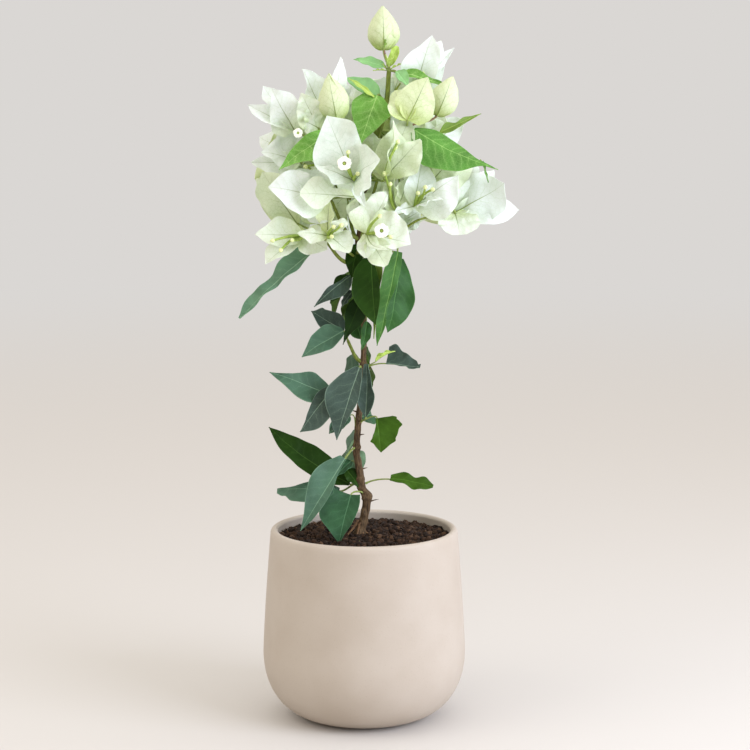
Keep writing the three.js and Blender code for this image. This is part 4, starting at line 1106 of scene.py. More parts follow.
def head(bough_end, row, rng):
    """A head: its bracts, its flowers, and a stalk that curves from its bough to it."""
    at = np.array(row.at, float)
    if row.bracts is None:
        axis = direction(*row.lean)
        bracts = closed_bracts(at, axis, row, rng)
    else:
        tips = [np.array(b[0], float) for b in row.bracts]
        axis = unit(sum(unit(t - at) for t in tips))
        bracts = []
        for tip, wide, face, *changes in row.bracts:
            facing = axis if face is None else direction(*face)
            bracts += bract(at, tip, facing, wide, row.colour, rng, changes[0] if changes else {})
    usual = usual_flowers(at, axis, rng)
    flowers = []
    for end, kind in usual if row.flowers is None else row.flowers:
        flowers += flower(at, end, kind, rng)
    start = np.array(bough_end, float)
    reach = np.linalg.norm(at - start)
    leave = unit(at - start + [0, 0, 0.2 * reach]) * reach
    rings = 16
    path = hermite_path(start, leave, at, axis * reach * 0.9, rings)
    radius = np.interp(np.linspace(0, 1, rings), [0, 0.2, 0.85, 1], [1.0, 0.75, 0.7, 1.0])
    return bracts, flowers, [tube(path, radius, 8, LOOKS.index(row.stalk))]


def usual_flowers(at, axis, rng):
    """Three flowers in bud, spread a little round a head's axis."""
    side = unit(np.cross(axis, rng.normal(size=3)))
    other = np.cross(axis, side)
    turns = np.radians([0, 120, 240]) + rng.uniform(0, 2)
    ways = [unit(axis + 0.4 * (np.cos(a) * side + np.sin(a) * other)) for a in turns]
    return [(at + w * rng.uniform(11, 15), "knob") for w in ways]


def far_rows(end, count, turn, rise, rng):
    """Heads by rule round a bough's end.

    The first looks along the bough's bearing. The others lean away from it, at even steps round it with
    some chance, and each stands a way out from the end.
    """
    rows = []
    outward = direction(turn, rise)
    side = direction(turn + 90, 0)
    up = np.cross(side, outward)
    for i in range(count):
        round_by = 2 * np.pi * (i + rng.uniform(0.3, 0.7)) / count
        tilt = np.radians(rng.uniform(35, 62) if i else 5)
        aim = np.cos(tilt) * outward + np.sin(tilt) * (np.cos(round_by) * side + np.sin(round_by) * up)
        rows.append(open_row(np.array(end, float) + aim * rng.uniform(15, 23), aim, 1.0, rng))
    return rows


def open_row(at, aim, size, rng):
    """The row of a head by rule: three bracts a third of a turn apart, each open by a chance angle."""
    across = unit(np.cross(aim, [0.31, 0.22, 0.93]))
    other = np.cross(aim, across)
    start = rng.uniform(0, 2)
    bracts = []
    for third in range(3):
        angle = start + third * 2 * np.pi / 3
        opening = np.radians(rng.uniform(42, 62))
        way = np.cos(opening) * aim + np.sin(opening) * (np.cos(angle) * across + np.sin(angle) * other)
        bracts.append((at + way * size * rng.uniform(33, 39), size * rng.uniform(26, 32), None))
    return spray(at, rng.choice(["white", "white", "cream", "young"]), bracts, None)


# Materials

def add(tree, kind, inputs=None, **settings):
    """Adds a node with its settings.

    inputs maps an input's name or number to a socket to link or a value to set.
    """
    node = tree.nodes.new("ShaderNode" + kind)
    for name, value in settings.items():
        setattr(node, name, value)
    for name, value in (inputs or {}).items():
        if isinstance(value, bpy.types.NodeSocket):
            tree.links.new(value, node.inputs[name])
        else:
            node.inputs[name].default_value = value
    return node


def reckon(tree, operation, *values, **settings):
    """The result of a maths node."""
    return add(tree, "Math", dict(enumerate(values)), operation=operation, **settings).outputs[0]


def stretch(tree, value, low, high, at_low=0.0, at_high=1.0, smooth=False):
    """A value carried from the span between low and high to the one between at_low and at_high."""
    kind = "SMOOTHSTEP" if smooth else "LINEAR"
    span = {0: value, 1: low, 2: high, 3: at_low, 4: at_high}
    return add(tree, "MapRange", span, interpolation_type=kind).outputs[0]


def blend(tree, share, first, second):
    """Two colours mixed, with the share of the second."""
    return add(tree, "Mix", {0: share, 6: first, 7: second}, data_type="RGBA").outputs[2]


def cloud(tree, place, scale, detail, **settings):
    """Soft noise with a number of waves to the unit of its place."""
    return add(tree, "TexNoise", {"Vector": place, "Scale": scale, "Detail": detail}, **settings).outputs[0]


def raised(tree, height, strength, distance, **settings):
    """Bumps that follow a height, distance metres high."""
    inputs = {"Height": height, "Strength": strength, "Distance": distance}
    return add(tree, "Bump", inputs, **settings).outputs[0]


def surface_of(tree, colour, rough, bumps, specular):
    """The shader of a dull surface."""
    return add(tree, "BsdfPrincipled", {
        "Base Color": colour, "Roughness": rough, "Normal": bumps, "Specular IOR Level": specular,
    }).outputs[0]


def chosen(name):
    """A colour from the settings, with its alpha."""
    return tuple(getattr(bpy.context.scene.bougainvillea_colours, name)) + (1.0,)


def new_tree(name):
    """A new material, its empty tree and its output's socket."""
    made = bpy.data.materials.new(name)
    made.use_nodes = True
    made.node_tree.nodes.clear()
    return made, made.node_tree, add(made.node_tree, "OutputMaterial").inputs[0]


def veins(tree, gap, rib_width, net_scale):
    """How much each place on a blade is midrib, side vein and net.

    The midrib narrows to a quarter towards the tip. Side veins leave it at an even gap, bend towards the
    tip, wander a little and fade out to the margin. soft is a broad band along each side vein. The net
    is the walls of cells, net_scale of them to the millimetre.
    """
    place = add(tree, "UVMap", uv_map="mm").outputs[0]
    mm = add(tree, "SeparateXYZ", {0: place})
    share = add(tree, "SeparateXYZ", {0: add(tree, "UVMap", uv_map="share").outputs[0]})
    along = share.outputs[1]
    aside = reckon(tree, "ABSOLUTE", mm.outputs[0])
    outward = reckon(tree, "ABSOLUTE", share.outputs[0])
    taper = stretch(tree, along, 0.0, 1.0, rib_width, rib_width * 0.25)
    thin = reckon(tree, "DIVIDE", aside, taper)
    rib = stretch(tree, thin, 0.35, 1.0, 1.0, 0.0, smooth=True)
    wander = cloud(tree, place, 0.13, 2.0, noise_dimensions="2D")
    slant = reckon(tree, "MULTIPLY_ADD", wander, 7.0, mm.outputs[1])
    slant = reckon(tree, "MULTIPLY_ADD", aside, -VEIN_SLANT, slant)
    slant = reckon(tree, "MULTIPLY_ADD", reckon(tree, "MULTIPLY", aside, aside), -VEIN_BEND, slant)
    near = reckon(tree, "PINGPONG", slant, gap / 2)
    side = stretch(tree, near, 0.05, 0.5, 1.0, 0.0, smooth=True)
    side = reckon(tree, "MULTIPLY", side, stretch(tree, outward, 0.15, 0.95, 1.0, 0.15))
    soft = stretch(tree, near, 0.0, gap / 2, 1.0, 0.0, smooth=True)
    cells = add(tree, "TexVoronoi", {"Vector": place, "Scale": net_scale, "Randomness": 1.0},
                voronoi_dimensions="2D", feature="DISTANCE_TO_EDGE").outputs["Distance"]
    net = stretch(tree, cells, 0.0, 0.12, 1.0, 0.0)
    return SimpleNamespace(rib=rib, side=side, soft=soft, net=net, along=along, outward=outward)


def leaf_material(name, code, vein_code, net, gloss, under):
    """Living leaf: a waxy blade with a soft mottle, a pale midrib and margin, fine side veins and a net.

    The under face is rougher and duller, and its veins stand up where those of the upper face are sunk.
    """
    made, tree, out = new_tree(name)
    v = veins(tree, LEAF_VEIN_GAP, 0.55, 0.5)
    place = add(tree, "TexCoord").outputs["Object"]
    colour = linear(code)
    dark = tuple(c * 0.76 for c in colour[:3]) + (1.0,)
    light = tuple(min(1.0, c * 1.22) for c in colour[:3]) + (1.0,)
    mottle = stretch(tree, cloud(tree, place, 70.0, 4.0), 0.3, 0.7)
    lines = reckon(tree, "MULTIPLY", v.soft, 0.25 * net)
    lines = reckon(tree, "MULTIPLY_ADD", v.side, 0.08 + 0.5 * net, lines)
    lines = reckon(tree, "MULTIPLY_ADD", v.net, 0.4 * net, lines)
    lines = reckon(tree, "MULTIPLY_ADD", v.rib, 0.6, lines, use_clamp=True)
    margin = stretch(tree, v.outward, 0.94, 1.0, 0.0, 0.5)
    lines = reckon(tree, "MAXIMUM", lines, margin)
    veined = blend(tree, lines, blend(tree, mottle, dark, light), linear(vein_code))
    bumps = raised(tree, lines, 0.35, 0.0002, invert=not under)
    rough, specular = (0.62, 0.1) if under else (0.5, gloss)
    tree.links.new(surface_of(tree, veined, rough, bumps, specular), out)
    return made


def bract_material(name, colour):
    """Papery bract: a thin dry blade that light shines through, white to greenish.

    Its foot is greener, with a cloudy edge to that colour. The green midrib, the side veins and the fine
    net fade towards the tip.
    """
    made, tree, out = new_tree(name)
    v = veins(tree, BRACT_VEIN_GAP, 0.6, 0.36)
    foot_colour, vein_colour, rib_colour = (linear(code) for code in BRACT_COLOURS[colour][1:])
    place = add(tree, "TexCoord").outputs["Object"]
    spread = reckon(tree, "MULTIPLY_ADD", cloud(tree, place, 50.0, 3.0), 0.5, v.along)
    near_foot = stretch(tree, spread, 0.2, 0.75, 1.0, 0.0, smooth=True)
    ground = blend(tree, near_foot, chosen("bract_" + colour), foot_colour)
    lines = reckon(tree, "MULTIPLY", v.side, 0.5)
    lines = reckon(tree, "MULTIPLY_ADD", v.net, 0.3, lines)
    lines = reckon(tree, "MULTIPLY", lines, stretch(tree, v.along, 0.2, 1.0, 1.0, 0.35))
    rib = reckon(tree, "MULTIPLY", v.rib, stretch(tree, v.along, 0.1, 0.95, 0.9, 0.2))
    veined = blend(tree, rib, blend(tree, lines, ground, vein_colour), rib_colour)
    bumps = raised(tree, lines, 0.5, 0.0002)
    through = add(tree, "BsdfTranslucent", {"Color": veined, "Normal": bumps}).outputs[0]
    skin = surface_of(tree, veined, 0.6, bumps, 0.2)
    both = add(tree, "MixShader", {0: BRACT_THROUGH, 1: skin, 2: through}).outputs[0]
    tree.links.new(both, out)
    return made


def grained_material(name, low, high, scale, height_scale, rough, relief):
    """A dull grown or earthen surface: two colours dealt out by noise, with bumps to match.

    A height scale under 1 draws the grain out along the height.
    """
    made, tree, out = new_tree(name)
    place = add(tree, "Mapping", {
        "Vector": add(tree, "TexCoord").outputs["Object"], "Scale": (1.0, 1.0, height_scale),
    }).outputs[0]
    grain = add(tree, "TexNoise", {
        "Vector": place, "Scale": scale, "Detail": 5.0, "Roughness": 0.65,
    }).outputs[0]
    colour = blend(tree, stretch(tree, grain, 0.32, 0.68), linear(low), linear(high))
    tree.links.new(surface_of(tree, colour, rough, raised(tree, grain, 0.6, relief), 0.35), out)
    return made


def pot_material(name):
    """Cast stoneware with a matt mineral glaze.

    It has faint clouds 20 to 40 mm wide, and specks and pinholes under a millimetre wide.
    """
    made, tree, out = new_tree(name)
    place = add(tree, "TexCoord").outputs["Object"]
    clouds = cloud(tree, place, 30.0, 4.0)
    ground = blend(tree, stretch(tree, clouds, 0.35, 0.65), chosen("glaze"), chosen("glaze_cloud"))
    cells = add(tree, "TexVoronoi", {"Vector": place, "Scale": 420.0}).outputs["Distance"]
    colour = blend(tree, stretch(tree, cells, 0.08, 0.16, 0.3, 0.0), ground, chosen("speck"))
    bumps = raised(tree, cloud(tree, place, 900.0, 3.0), 0.25, 0.0002)
    rough = stretch(tree, clouds, 0.3, 0.7, 0.62, 0.72)
    tree.links.new(surface_of(tree, colour, rough, bumps, 0.45), out)
    return made


# The share of the light that falls on a bract's face and goes on through it
BRACT_THROUGH = 0.36
# Grown and earthen surfaces: the name of the real material, its two colours, how many grains to the
# metre, their scale along the height, its roughness and the height of its bumps in metres
GRAINED = {
    "soil": ("damp potting mix, sieved", "#120b06", "#2e1e12", 700.0, 1.0, 0.95, 0.0006),
    "crumb_dark": ("dark peat crumbs", "#170e07", "#2d1c10", 900.0, 1.0, 0.95, 0.0004),
    "crumb_brown": ("brown compost crumbs", "#25170c", "#422b18", 900.0, 1.0, 0.95, 0.0004),
    "crumb_pale": ("pale bark chips, milled", "#3b2a1d", "#604630", 900.0, 1.0, 0.95, 0.0004),
    "bark": ("woody bark, ridged", "#2a1d12", "#70583b", 1000.0, 0.14, 0.85, 0.0006),
    "twig": ("young green bark, smooth", "#55611f", "#86923c", 800.0, 0.3, 0.7, 0.0001),
    "root": ("thin brown root bark", "#4f3824", "#7d5d3e", 900.0, 0.5, 0.85, 0.0002),
    "stalk": ("living leaf stalk", "#6f7f3d", "#93a055", 700.0, 0.6, 0.6, 0.0001),
    "tan": ("living flower stalk, tanned", "#7a5e48", "#a2846a", 700.0, 0.6, 0.6, 0.0001),
    "calyx": ("living flower tube", "#7f9a3a", "#a9bd5c", 500.0, 0.6, 0.55, 0.0001),
    "knob": ("living flower bud", "#d3de8e", "#e9eeb8", 700.0, 1.0, 0.55, 0.0001),
    "petal": ("living petal, waxy", "#f4f2df", "#fdfcf2", 500.0, 1.0, 0.55, 0.0001),
    "throat": ("living flower throat", "#414d12", "#66722a", 500.0, 1.0, 0.6, 0.0001),
}
# Materials by look, as they are made
MADE = {}


def material(look):
    """The material of a look, made when it is first asked for."""
    if look not in MADE:
        kind, *rest = look.split("_")
        if look == "pot":
            MADE[look] = pot_material("cast stoneware, matt mineral glaze")
        elif look in GRAINED:
            MADE[look] = grained_material(*GRAINED[look])
        elif kind == "leaf":
            colour, side = rest
            upper_code, under_code, *others = LEAF_COLOURS[colour]
            under = side == "under"
            name = f"living leaf blade, {colour}, {side} face"
            MADE[look] = leaf_material(name, under_code if under else upper_code, *others, under)
        else:
            MADE[look] = bract_material(f"living papery bract, {rest[0]}", rest[0])
    return MADE[look]


# Settings that a user would change

class BougainvilleaSizes(bpy.types.PropertyGroup):
    """Sizes of the pot and the plant."""

    pot_height: bpy.props.FloatProperty(
        name="Pot height", description="From the underside to the top of the rim",
        default=pot_top.z, min=0.05, unit="LENGTH")
    belly_radius: bpy.props.FloatProperty(
        name="Belly radius", description="The pot's largest radius",
        default=pot_top.x, min=0.03, unit="LENGTH")
    rim_radius: bpy.props.FloatProperty(
        name="Rim radius", description="Outside radius at the rim", default=0.0643, min=0.02, unit="LENGTH")
    pot_wall: bpy.props.FloatProperty(
        name="Wall", description="Thickness of the pot's wall", default=0.005, min=0.001, unit="LENGTH")
    soil_edge: bpy.props.FloatProperty(
        name="Soil height", description="Height of the soil at the wall", default=0.1235, unit="LENGTH")
    crumbs: bpy.props.IntProperty(
        name="Crumbs", description="How many crumbs lie on the soil", default=2400, min=0)
    seed: bpy.props.IntProperty(
        name="Seed", description="Starts the chances that shape leaves, bracts and soil", default=7)


def colour_setting(name, description, code):
    """A colour that a user can pick, which starts as a hex code's."""
    return bpy.props.FloatVectorProperty(
        name=name, description=description, default=linear(code)[:3], min=0.0, max=1.0, subtype="COLOR")


class BougainvilleaColours(bpy.types.PropertyGroup):
    """Colours of the pot and of the bracts' blades."""

    glaze: colour_setting("Glaze", "The pot's main colour", "#b5a899")
    glaze_cloud: colour_setting("Glaze clouds", "The paler colour of faint clouds on the pot", "#bbafa1")
    speck: colour_setting("Specks", "The colour of the specks on the pot", "#9c8a78")
    bract_white: colour_setting(
        "White bracts", "The blade of bracts in full light", BRACT_COLOURS["white"][0])
    bract_cool: colour_setting(
        "Cool bracts", "The blade of bracts that are a little bluish", BRACT_COLOURS["cool"][0])
    bract_cream: colour_setting(
        "Cream bracts", "The blade of bracts that are a little yellowish", BRACT_COLOURS["cream"][0])
    bract_young: colour_setting(
        "Young bracts", "The blade of small bracts that are still closed", BRACT_COLOURS["young"][0])
    # The green bracts' greyer colour paints the shade on bracts deep in the crown and under leaves
    bract_green: colour_setting(
        "Green bracts", "The blade of greenish bracts", BRACT_COLOURS["green"][0])


# Operators

def sizes():
    """The sizes in millimetres."""
    given = bpy.context.scene.bougainvillea_sizes
    return SimpleNamespace(
        height=given.pot_height / MM, belly=given.belly_radius / MM, rim=given.rim_radius / MM,
        wall=given.pot_wall / MM, soil=given.soil_edge / MM, crumbs=given.crumbs, seed=given.seed,
    )


def pot_outside(size, inset, bottom, top, corner_steps, shoulder_steps):
    """Half of the pot's profile.

    The corner is a flattened quarter oval, and the shoulder leans in by a power of its height.
    """
    t = np.linspace(0, np.pi / 2, corner_steps)
    reach, lift = np.sin(t) ** (2 / CORNER_POWER), 1 - np.cos(t) ** (2 / CORNER_POWER)
    corner = np.stack([
        FOOT_RADIUS + (size.belly - FOOT_RADIUS) * reach - inset,
        bottom + (BELLY_HEIGHT - bottom) * lift,
    ], 1)
    level = np.linspace(BELLY_HEIGHT, top, shoulder_steps)[1:]
    share = (level - BELLY_HEIGHT) / (size.height - BELLY_HEIGHT)
    shoulder = np.stack([size.belly - (size.belly - size.rim) * share**SHOULDER_POWER - inset, level], 1)
    return np.vstack([corner, shoulder])


class BOUGAINVILLEA_OT_pot(bpy.types.Operator):
    """Builds the pot as one turned profile with a rounded rim"""

    bl_idname = "bougainvillea.pot"
    bl_label = "Build pot"

    def execute(self, context):
        size = sizes()
        lip = size.wall / 2
        top = size.height - lip
        outside = pot_outside(size, 0, 0, top, 40, 30)
        inside = pot_outside(size, size.wall, POT_FLOOR, top, 24, 20)[::-1]
        arc = np.linspace(0, np.pi, 13)[1:-1]
        rim = np.stack([size.rim - lip + lip * np.cos(arc), top + lip * np.sin(arc)], 1)
        foot = np.array([[POLE, 0], [10, 0], [20, 0], [FOOT_RADIUS - 1, 0]])
        floor = np.array([[FOOT_RADIUS - size.wall - 4, POT_FLOOR], [12, POT_FLOOR], [POLE, POT_FLOOR]])
        profile = np.vstack([foot, outside, rim, inside, floor])
        body = turned(profile[:, 0], profile[:, 1], POT_SIDES, LOOKS.index("pot"))
        put_piece("pot_body", [body], ["pot"])
        return {"FINISHED"}


class BOUGAINVILLEA_OT_soil(bpy.types.Operator):
    """Builds the bed of soil and the crumbs that lie on it"""

    bl_idname = "bougainvillea.soil"
    bl_label = "Build soil"

    def execute(self, context):
        size = sizes()
        rng = np.random.default_rng(size.seed)
        share = (size.soil - BELLY_HEIGHT) / (size.height - BELLY_HEIGHT)
        edge = size.belly - (size.belly - size.rim) * share**SHOULDER_POWER - size.wall - 0.15
        around = 2 * np.pi * np.arange(SOIL_SIDES) / SOIL_SIDES
        under = np.array([POLE, edge / 2, edge - 1.2, edge])
        under_level = np.array([0, 0, 0, 1]) - SOIL_DEPTH
        upper = np.linspace(edge, POLE, 90)
        radius = np.concatenate([under, upper])
        level = size.soil + np.concatenate([under_level, self.surface(upper, edge)])
        x, y = radius[:, None] * np.cos(around), radius[:, None] * np.sin(around)
        bumps = 0.9 * ripple(rng, x, y, 16, 16) + 0.7 * ripple(rng, x, y, 16, 4.5)
        bumps = bumps * (np.arange(len(radius)) >= len(under))[:, None]
        shape = (np.ones((1, SOIL_SIDES)), bumps)
        bed = turned(radius, level, SOIL_SIDES, LOOKS.index("soil"), shape)
        put_piece("soil_bed", [bed], ["soil"])
        put_piece("soil_crumbs", self.crumbs(size, edge, rng), ["soil"])
        return {"FINISHED"}

    def surface(self, radius, edge):
        """Height above the edge: the soil is heaped by the square of the nearness to the middle."""
        return SOIL_HEAP * (1 - (radius / edge) ** 2)

    def crumbs(self, size, edge, rng):
        """Crumbs: balls of four rings of six places and two poles.

        Each is dented, stretched and turned by chance, and most are small.
        """
        count = size.crumbs
        reach = edge * np.sqrt(rng.uniform(0, 1, count))
        bearing = rng.uniform(0, 2 * np.pi, count)
        radius = 0.8 + 1.7 * rng.uniform(0, 1, count) ** 1.9
        reach = np.minimum(reach, edge - radius)
        level = size.soil + self.surface(reach, edge) + rng.uniform(-0.4, 1.9, count)
        centre = np.stack([reach * np.cos(bearing), reach * np.sin(bearing), level], 1)
        rings, sides = 4, 6
        tilt = np.pi * (np.arange(rings) + 1) / (rings + 1)
        turn = 2 * np.pi * np.arange(sides) / sides
        ball = np.stack([
            np.sin(tilt)[:, None] * np.cos(turn), np.sin(tilt)[:, None] * np.sin(turn),
            -np.cos(tilt)[:, None] * np.ones(sides),
        ], -1).reshape(-1, 3)
        ball = np.vstack([ball, [[0, 0, -1], [0, 0, 1]]])
        dented = ball * rng.uniform(0.72, 1.22, (count, len(ball), 1))
        dented = dented * rng.uniform(0.7, 1.25, (count, 1, 3))
        spin = np.linalg.qr(rng.normal(size=(count, 3, 3)))[0]
        spin = spin * np.sign(np.linalg.det(spin))[:, None, None]
        places = centre[:, None] + radius[:, None, None] * np.einsum("nij,nkj->nki", spin, dented)
        one = closed_grid(ball[:-2].reshape(rings, sides, 3), (6.0, np.linspace(0, 3, rings)), False, 0)
        kinds = np.digitize(np.arange(count) % 7, (3, 6))
        patches = []
        for kind, name in enumerate(("crumb_dark", "crumb_brown", "crumb_pale")):
            own = np.flatnonzero(kinds == kind)
            n = len(own)
            start = (np.arange(n) * len(ball))[:, None, None]
            faces = np.where(one.faces[None] < 0, -1, one.faces[None] + start).reshape(-1, 4)
            values = [np.tile(v, (n, 1, 1)) for v in (one.local, one.mm, one.share)]
            island = np.repeat(np.arange(n), len(one.faces))
            patches.append(patch(
                places[own].reshape(-1, 3), faces, values, island,
                np.stack([radius[own] * 5, radius[own] * 3], 1),
                np.full(len(faces), LOOKS.index(name)),
            ))
        return patches


def stem_line(count):
    """The stem's centre line and radius."""
    return smooth_path(STEM, count)


def stem_at(height):
    """The stem's centre at a height."""
    line = stem_line(400)
    return np.array([np.interp(height, line[:, 2], line[:, i]) for i in range(3)])


def bark_radius(path, radius, sides, rough, nodes, rng):
    """A limb's radius for each ring and side.

    Ridges are waves round the limb that wander along it, and a node swells it by a bell curve.
    """
    along = np.concatenate([[0], np.cumsum(np.linalg.norm(np.diff(path, axis=0), axis=1))])[:, None]
    around = 2 * np.pi * np.arange(sides) / sides
    ridges = np.zeros((len(path), sides))
    for waves in (2, 3, 4, 5, 7, 9):
        wander = rng.uniform(0, 6) + 1.3 * np.sin(along / rng.uniform(7, 22) + rng.uniform(0, 6))
        ridges = ridges + np.cos(waves * around + wander) / np.sqrt(waves)
    lumps = ripple(rng, along * np.ones(sides), 4 * np.cos(around), 8, 9)
    swell = sum(np.exp(-(((path[:, 2:] - node) / 1.7) ** 2)) for node in nodes) if nodes else 0.0
    rough = np.broadcast_to(rough, (len(path),))[:, None]
    return np.array(radius)[:, None] * (1 + rough * (0.7 * ridges + 0.9 * lumps) + 0.24 * swell)


def thorn(foot, way, long, radius, look):
    """A thorn: a cone that hooks down a little towards its tip."""
    t = np.linspace(0, 1, 10)[:, None]
    path = np.array(foot, float) + np.array(way) * long * t + np.array([0, 0, -0.18 * long]) * t**2
    return tube(path, radius * (1 - t[:, 0]) ** 0.8 + 0.04, 8, look)


class BOUGAINVILLEA_OT_stem(bpy.types.Operator):
    """Builds the stem in three lengths, with bark, nodes, thorns and the roots that show on the soil"""

    bl_idname = "bougainvillea.stem"
    bl_label = "Build stem"

    def execute(self, context):
        rng = np.random.default_rng(sizes().seed + 1)
        line = stem_line(1100)
        path, radius = line[:, :3], line[:, 3]
        rough = np.interp(path[:, 2], [124, 300, 447], [0.11, 0.06, 0.02])
        rings = bark_radius(path, radius, 40, rough, STEM_NODES, rng)
        for low, high, name, look in STEM_LENGTHS:
            keep = (path[:, 2] >= low - 0.4) & (path[:, 2] <= high + 0.4)
            patches = [tube(path[keep], rings[keep], 40, LOOKS.index(look))]
            if name == "stem_foot":
                patches += self.roots(rng) + self.thorns(rng)
            put_piece(name, patches, ["stem"])
        return {"FINISHED"}

    def roots(self, rng):
        """Roots leave the stem's foot, arch out and dive into the soil."""
        patches = []
        for i, bearing in enumerate(ROOTS):
            out = direction(bearing + rng.uniform(-8, 8), 0)
            reach = rng.uniform(7, 15)
            start = np.array(ROOT_TOP) + [0, 0, rng.uniform(-2, 5)] + out * 2.2
            end = np.array(ROOT_FOOT) + out * reach
            path = hermite_path(start, (0, 0, -9), end, out * 9 + np.array([0, 0, -7]), 26)
            radius = np.linspace(0.8, 0.35, 26) * (0.8 + 0.2 * (i % 3))
            rings = bark_radius(path, radius, 10, 0.08, [], rng)
            patches.append(tube(path, rings, 10, LOOKS.index("root")))
        return patches

    def thorns(self, rng):
        """Thorns stand on the stem above its nodes, and one dead stub shows above the soil."""
        bark = LOOKS.index("bark")
        foot, way, long, radius = STUB
        patches = [thorn(foot, direction(*way), long, radius, bark)]
        for height, bearing in THORNS:
            way = direction(bearing, 25)
            patches.append(thorn(stem_at(height), way, rng.uniform(5.5, 7.5), 0.8, bark))
        return patches


class BOUGAINVILLEA_OT_boughs(bpy.types.Operator):
    """Builds the boughs that leave the stem, each drooping a little on its way"""

    bl_idname = "bougainvillea.boughs"
    bl_label = "Build boughs"

    def execute(self, context):
        rng = np.random.default_rng(sizes().seed + 2)
        groups = {"boughs_left": [], "boughs_right": [], "boughs_back": []}
        nodes = {name: [] for name in groups}
        for name, (height, end) in BOUGHS.items():
            start, end = stem_at(height), np.array(end, float)
            middle = (start + end) / 2 - [0, 0, 0.16 * np.linalg.norm(end - start)]
            path = smooth_path([start, middle, end], 70)
            radius = np.linspace(1.5, 1.0, 70)
            rings = bark_radius(path, radius, 16, 0.05, [], rng)
            group = self.group_of(name, end)
            groups[group].append(tube(path, rings, 16, LOOKS.index("twig")))
            nodes[group].append(name)
        for height, places in TWIGS:
            path = smooth_path([stem_at(height)] + places, 60)
            rings = bark_radius(path, np.linspace(1.0, 0.6, 60), 12, 0.06, [], rng)
            groups[self.group_of("twig", path[-1])].append(tube(path, rings, 12, LOOKS.index("twig")))
        for group, patches in groups.items():
            put_piece(group, patches, nodes[group])
        return {"FINISHED"}

    def group_of(self, name, end):
        """The piece that a bough or twig belongs to. Those in front go with the right ones."""
        if "back" in name:
            return "boughs_back"
        return "boughs_right" if end[0] > 0 or "front" in name else "boughs_left"


class BOUGAINVILLEA_OT_leaves(bpy.types.Operator):
    """Builds the leaves, their stalks and midribs"""

    bl_idname = "bougainvillea.leaves"
    bl_label = "Build leaves"

    def execute(self, context):
        rng = np.random.default_rng(sizes().seed + 3)
        for piece, masses in LEAF_PIECES.items():
            blades, stalks = [], []
            for mass in masses:
                node, rows = LEAVES[mass]
                for row in rows:
                    body, stalk = stalked_leaf(node, row, rng)
                    blades.append(body)
                    stalks.append(stalk)
            put_piece(piece, blades, masses)
            put_piece(piece.replace("leaves", "leafstalks"), stalks, masses)
        return {"FINISHED"}


class BOUGAINVILLEA_OT_bracts(bpy.types.Operator):
    """Builds the heads: bracts, flowers and the stalks that carry them"""

    bl_idname = "bougainvillea.bracts"
    bl_label = "Build bracts and flowers"

    def execute(self, context):
        rng = np.random.default_rng(sizes().seed + 4)
        for piece, masses in BRACT_PIECES.items():
            bracts, flowers, stalks = [], [], []
            for mass in masses:
                end = STEM[-1][:3] if mass == "bud_top" else BOUGHS[mass.replace("bracts", "bough")][1]
                rows = far_rows(end, *FAR_HEADS[mass], rng) if mass in FAR_HEADS else list(HEADS[mass])
                for at, turn, rise, size in SIDE_HEADS.get(mass, ()):
                    rows.append(open_row(np.array(at, float), direction(turn, rise), size, rng))
                for row in rows:
                    parts = head(end, row, rng)
                    bracts += parts[0]
                    flowers += parts[1]
                    stalks += parts[2]
            put_piece(piece, bracts, masses)
            put_piece(piece.replace("bracts", "flowers"), flowers + stalks, masses)
        return {"FINISHED"}


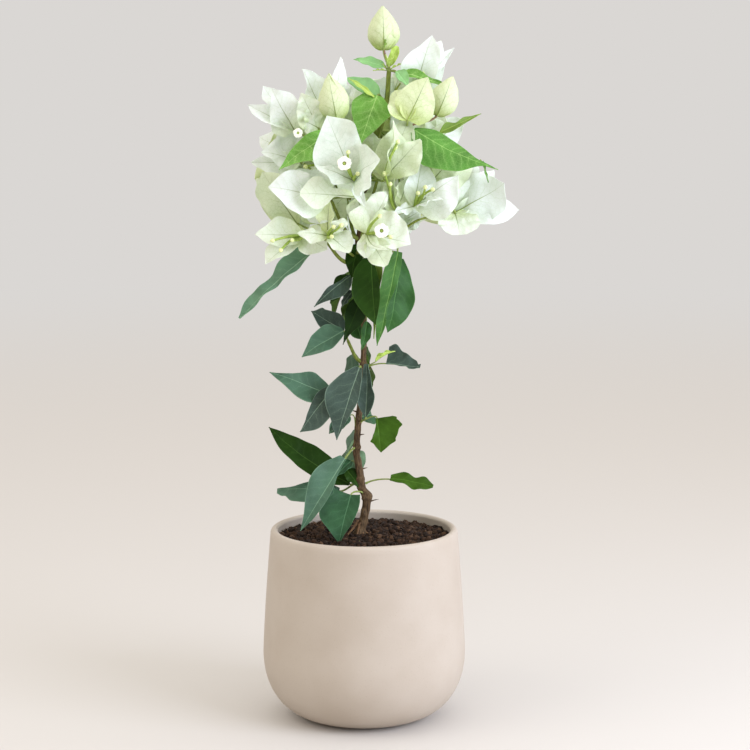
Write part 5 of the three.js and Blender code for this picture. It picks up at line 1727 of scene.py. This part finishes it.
class BOUGAINVILLEA_OT_stage(bpy.types.Operator):
    """Sets the camera, a pale floor and soft studio light"""

    bl_idname = "bougainvillea.stage"
    bl_label = "Set stage"

    def execute(self, context):
        scene = context.scene
        mesh = bpy.data.meshes.new("floor")
        sides = 96
        around = 2 * np.pi * np.arange(sides) / sides
        rim = FLOOR_RADIUS * np.stack([np.cos(around), np.sin(around), 0 * around], 1)
        mesh.from_pydata(rim.tolist(), [], [list(range(sides))])
        floor = bpy.data.objects.new("floor", mesh)
        scene.collection.objects.link(floor)
        mesh.materials.append(self.floor_paint())

        scene.world = self.soft_box()
        scene.view_settings.view_transform = "Standard"
        scene.cycles.max_bounces = 20
        scene.cycles.diffuse_bounces = 16
        scene.cycles.transmission_bounces = 16

        for row in LAMPS:
            self.lamp(*row)

        data = bpy.data.cameras.new("camera")
        data.lens = CAMERA_LENS
        data.sensor_width = 36.0
        data.clip_end = 50.0
        camera = bpy.data.objects.new("camera", data)
        scene.collection.objects.link(camera)
        self.aim(camera, np.array(CAMERA_PLACE) * MM, np.array(CAMERA_TARGET) * MM)
        scene.camera = camera
        return {"FINISHED"}

    def soft_box(self):
        """Light from all round that grows from the background's level at the horizon upwards."""
        world = bpy.data.worlds.new("soft_box")
        world.use_nodes = True
        tree = world.node_tree
        way = add(tree, "SeparateXYZ", {0: add(tree, "TexCoord").outputs["Generated"]})
        level = stretch(tree, way.outputs[2], 0.12, 0.9, 1.0, OVERHEAD, smooth=True)
        back = tree.nodes["Background"]
        back.inputs[0].default_value = linear(BACKGROUND)
        tree.links.new(level, back.inputs[1])
        return world

    def floor_paint(self):
        """Pale matt floor that takes on the background's colour away from the plant."""
        made, tree, out = new_tree("floor_paint")
        place = add(tree, "TexCoord").outputs["Object"]
        far = add(tree, "VectorMath", {0: place}, operation="LENGTH").outputs["Value"]
        fade = stretch(tree, far, *FLOOR_FADE, smooth=True)
        paint = add(tree, "BsdfPrincipled", {"Base Color": linear(FLOOR), "Roughness": 0.85})
        glow = add(tree, "Emission", {"Color": linear(BACKGROUND)})
        both = add(tree, "MixShader", {0: fade, 1: paint.outputs[0], 2: glow.outputs[0]})
        tree.links.new(both.outputs[0], out)
        return made

    def aim(self, thing, place, target):
        """Puts a lamp or camera at a place, looking at a target."""
        thing.location = place
        way = Vector(target) - Vector(place)
        thing.rotation_euler = way.to_track_quat("-Z", "Y").to_euler()

    def lamp(self, name, place, side, watts, code):
        """A square area lamp that looks at the plant."""
        data = bpy.data.lights.new(name, "AREA")
        data.shape = "SQUARE"
        data.size = side
        data.energy = watts
        data.color = linear(code)[:3]
        made = bpy.data.objects.new(name, data)
        bpy.context.scene.collection.objects.link(made)
        self.aim(made, place, LAMP_TARGET)


class BOUGAINVILLEA_PT_panel(bpy.types.Panel):
    """Lists the sizes, the colours and the operators"""

    bl_idname = "BOUGAINVILLEA_PT_panel"
    bl_label = "Bougainvillea"
    bl_space_type = "VIEW_3D"
    bl_region_type = "UI"
    bl_category = "Bougainvillea"

    def draw(self, context):
        for given in (context.scene.bougainvillea_sizes, context.scene.bougainvillea_colours):
            for name in given.__annotations__:
                self.layout.prop(given, name)
        for operator in OPERATORS:
            self.layout.operator(operator.bl_idname)


OPERATORS = (
    BOUGAINVILLEA_OT_stage, BOUGAINVILLEA_OT_pot, BOUGAINVILLEA_OT_soil, BOUGAINVILLEA_OT_stem,
    BOUGAINVILLEA_OT_boughs, BOUGAINVILLEA_OT_leaves, BOUGAINVILLEA_OT_bracts,
)
CLASSES = (BougainvilleaSizes, BougainvilleaColours) + OPERATORS + (BOUGAINVILLEA_PT_panel,)


def register():
    for made in CLASSES:
        bpy.utils.register_class(made)
    bpy.types.Scene.bougainvillea_sizes = bpy.props.PointerProperty(type=BougainvilleaSizes)
    bpy.types.Scene.bougainvillea_colours = bpy.props.PointerProperty(type=BougainvilleaColours)


def unregister():
    del bpy.types.Scene.bougainvillea_colours
    del bpy.types.Scene.bougainvillea_sizes
    for made in reversed(CLASSES):
        bpy.utils.unregister_class(made)


def main():
    """Builds everything."""
    register()
    bpy.ops.bougainvillea.stage()
    bpy.ops.bougainvillea.pot()
    bpy.ops.bougainvillea.soil()
    bpy.ops.bougainvillea.stem()
    bpy.ops.bougainvillea.boughs()
    bpy.ops.bougainvillea.leaves()
    bpy.ops.bougainvillea.bracts()


if __name__ == "__main__":
    main()
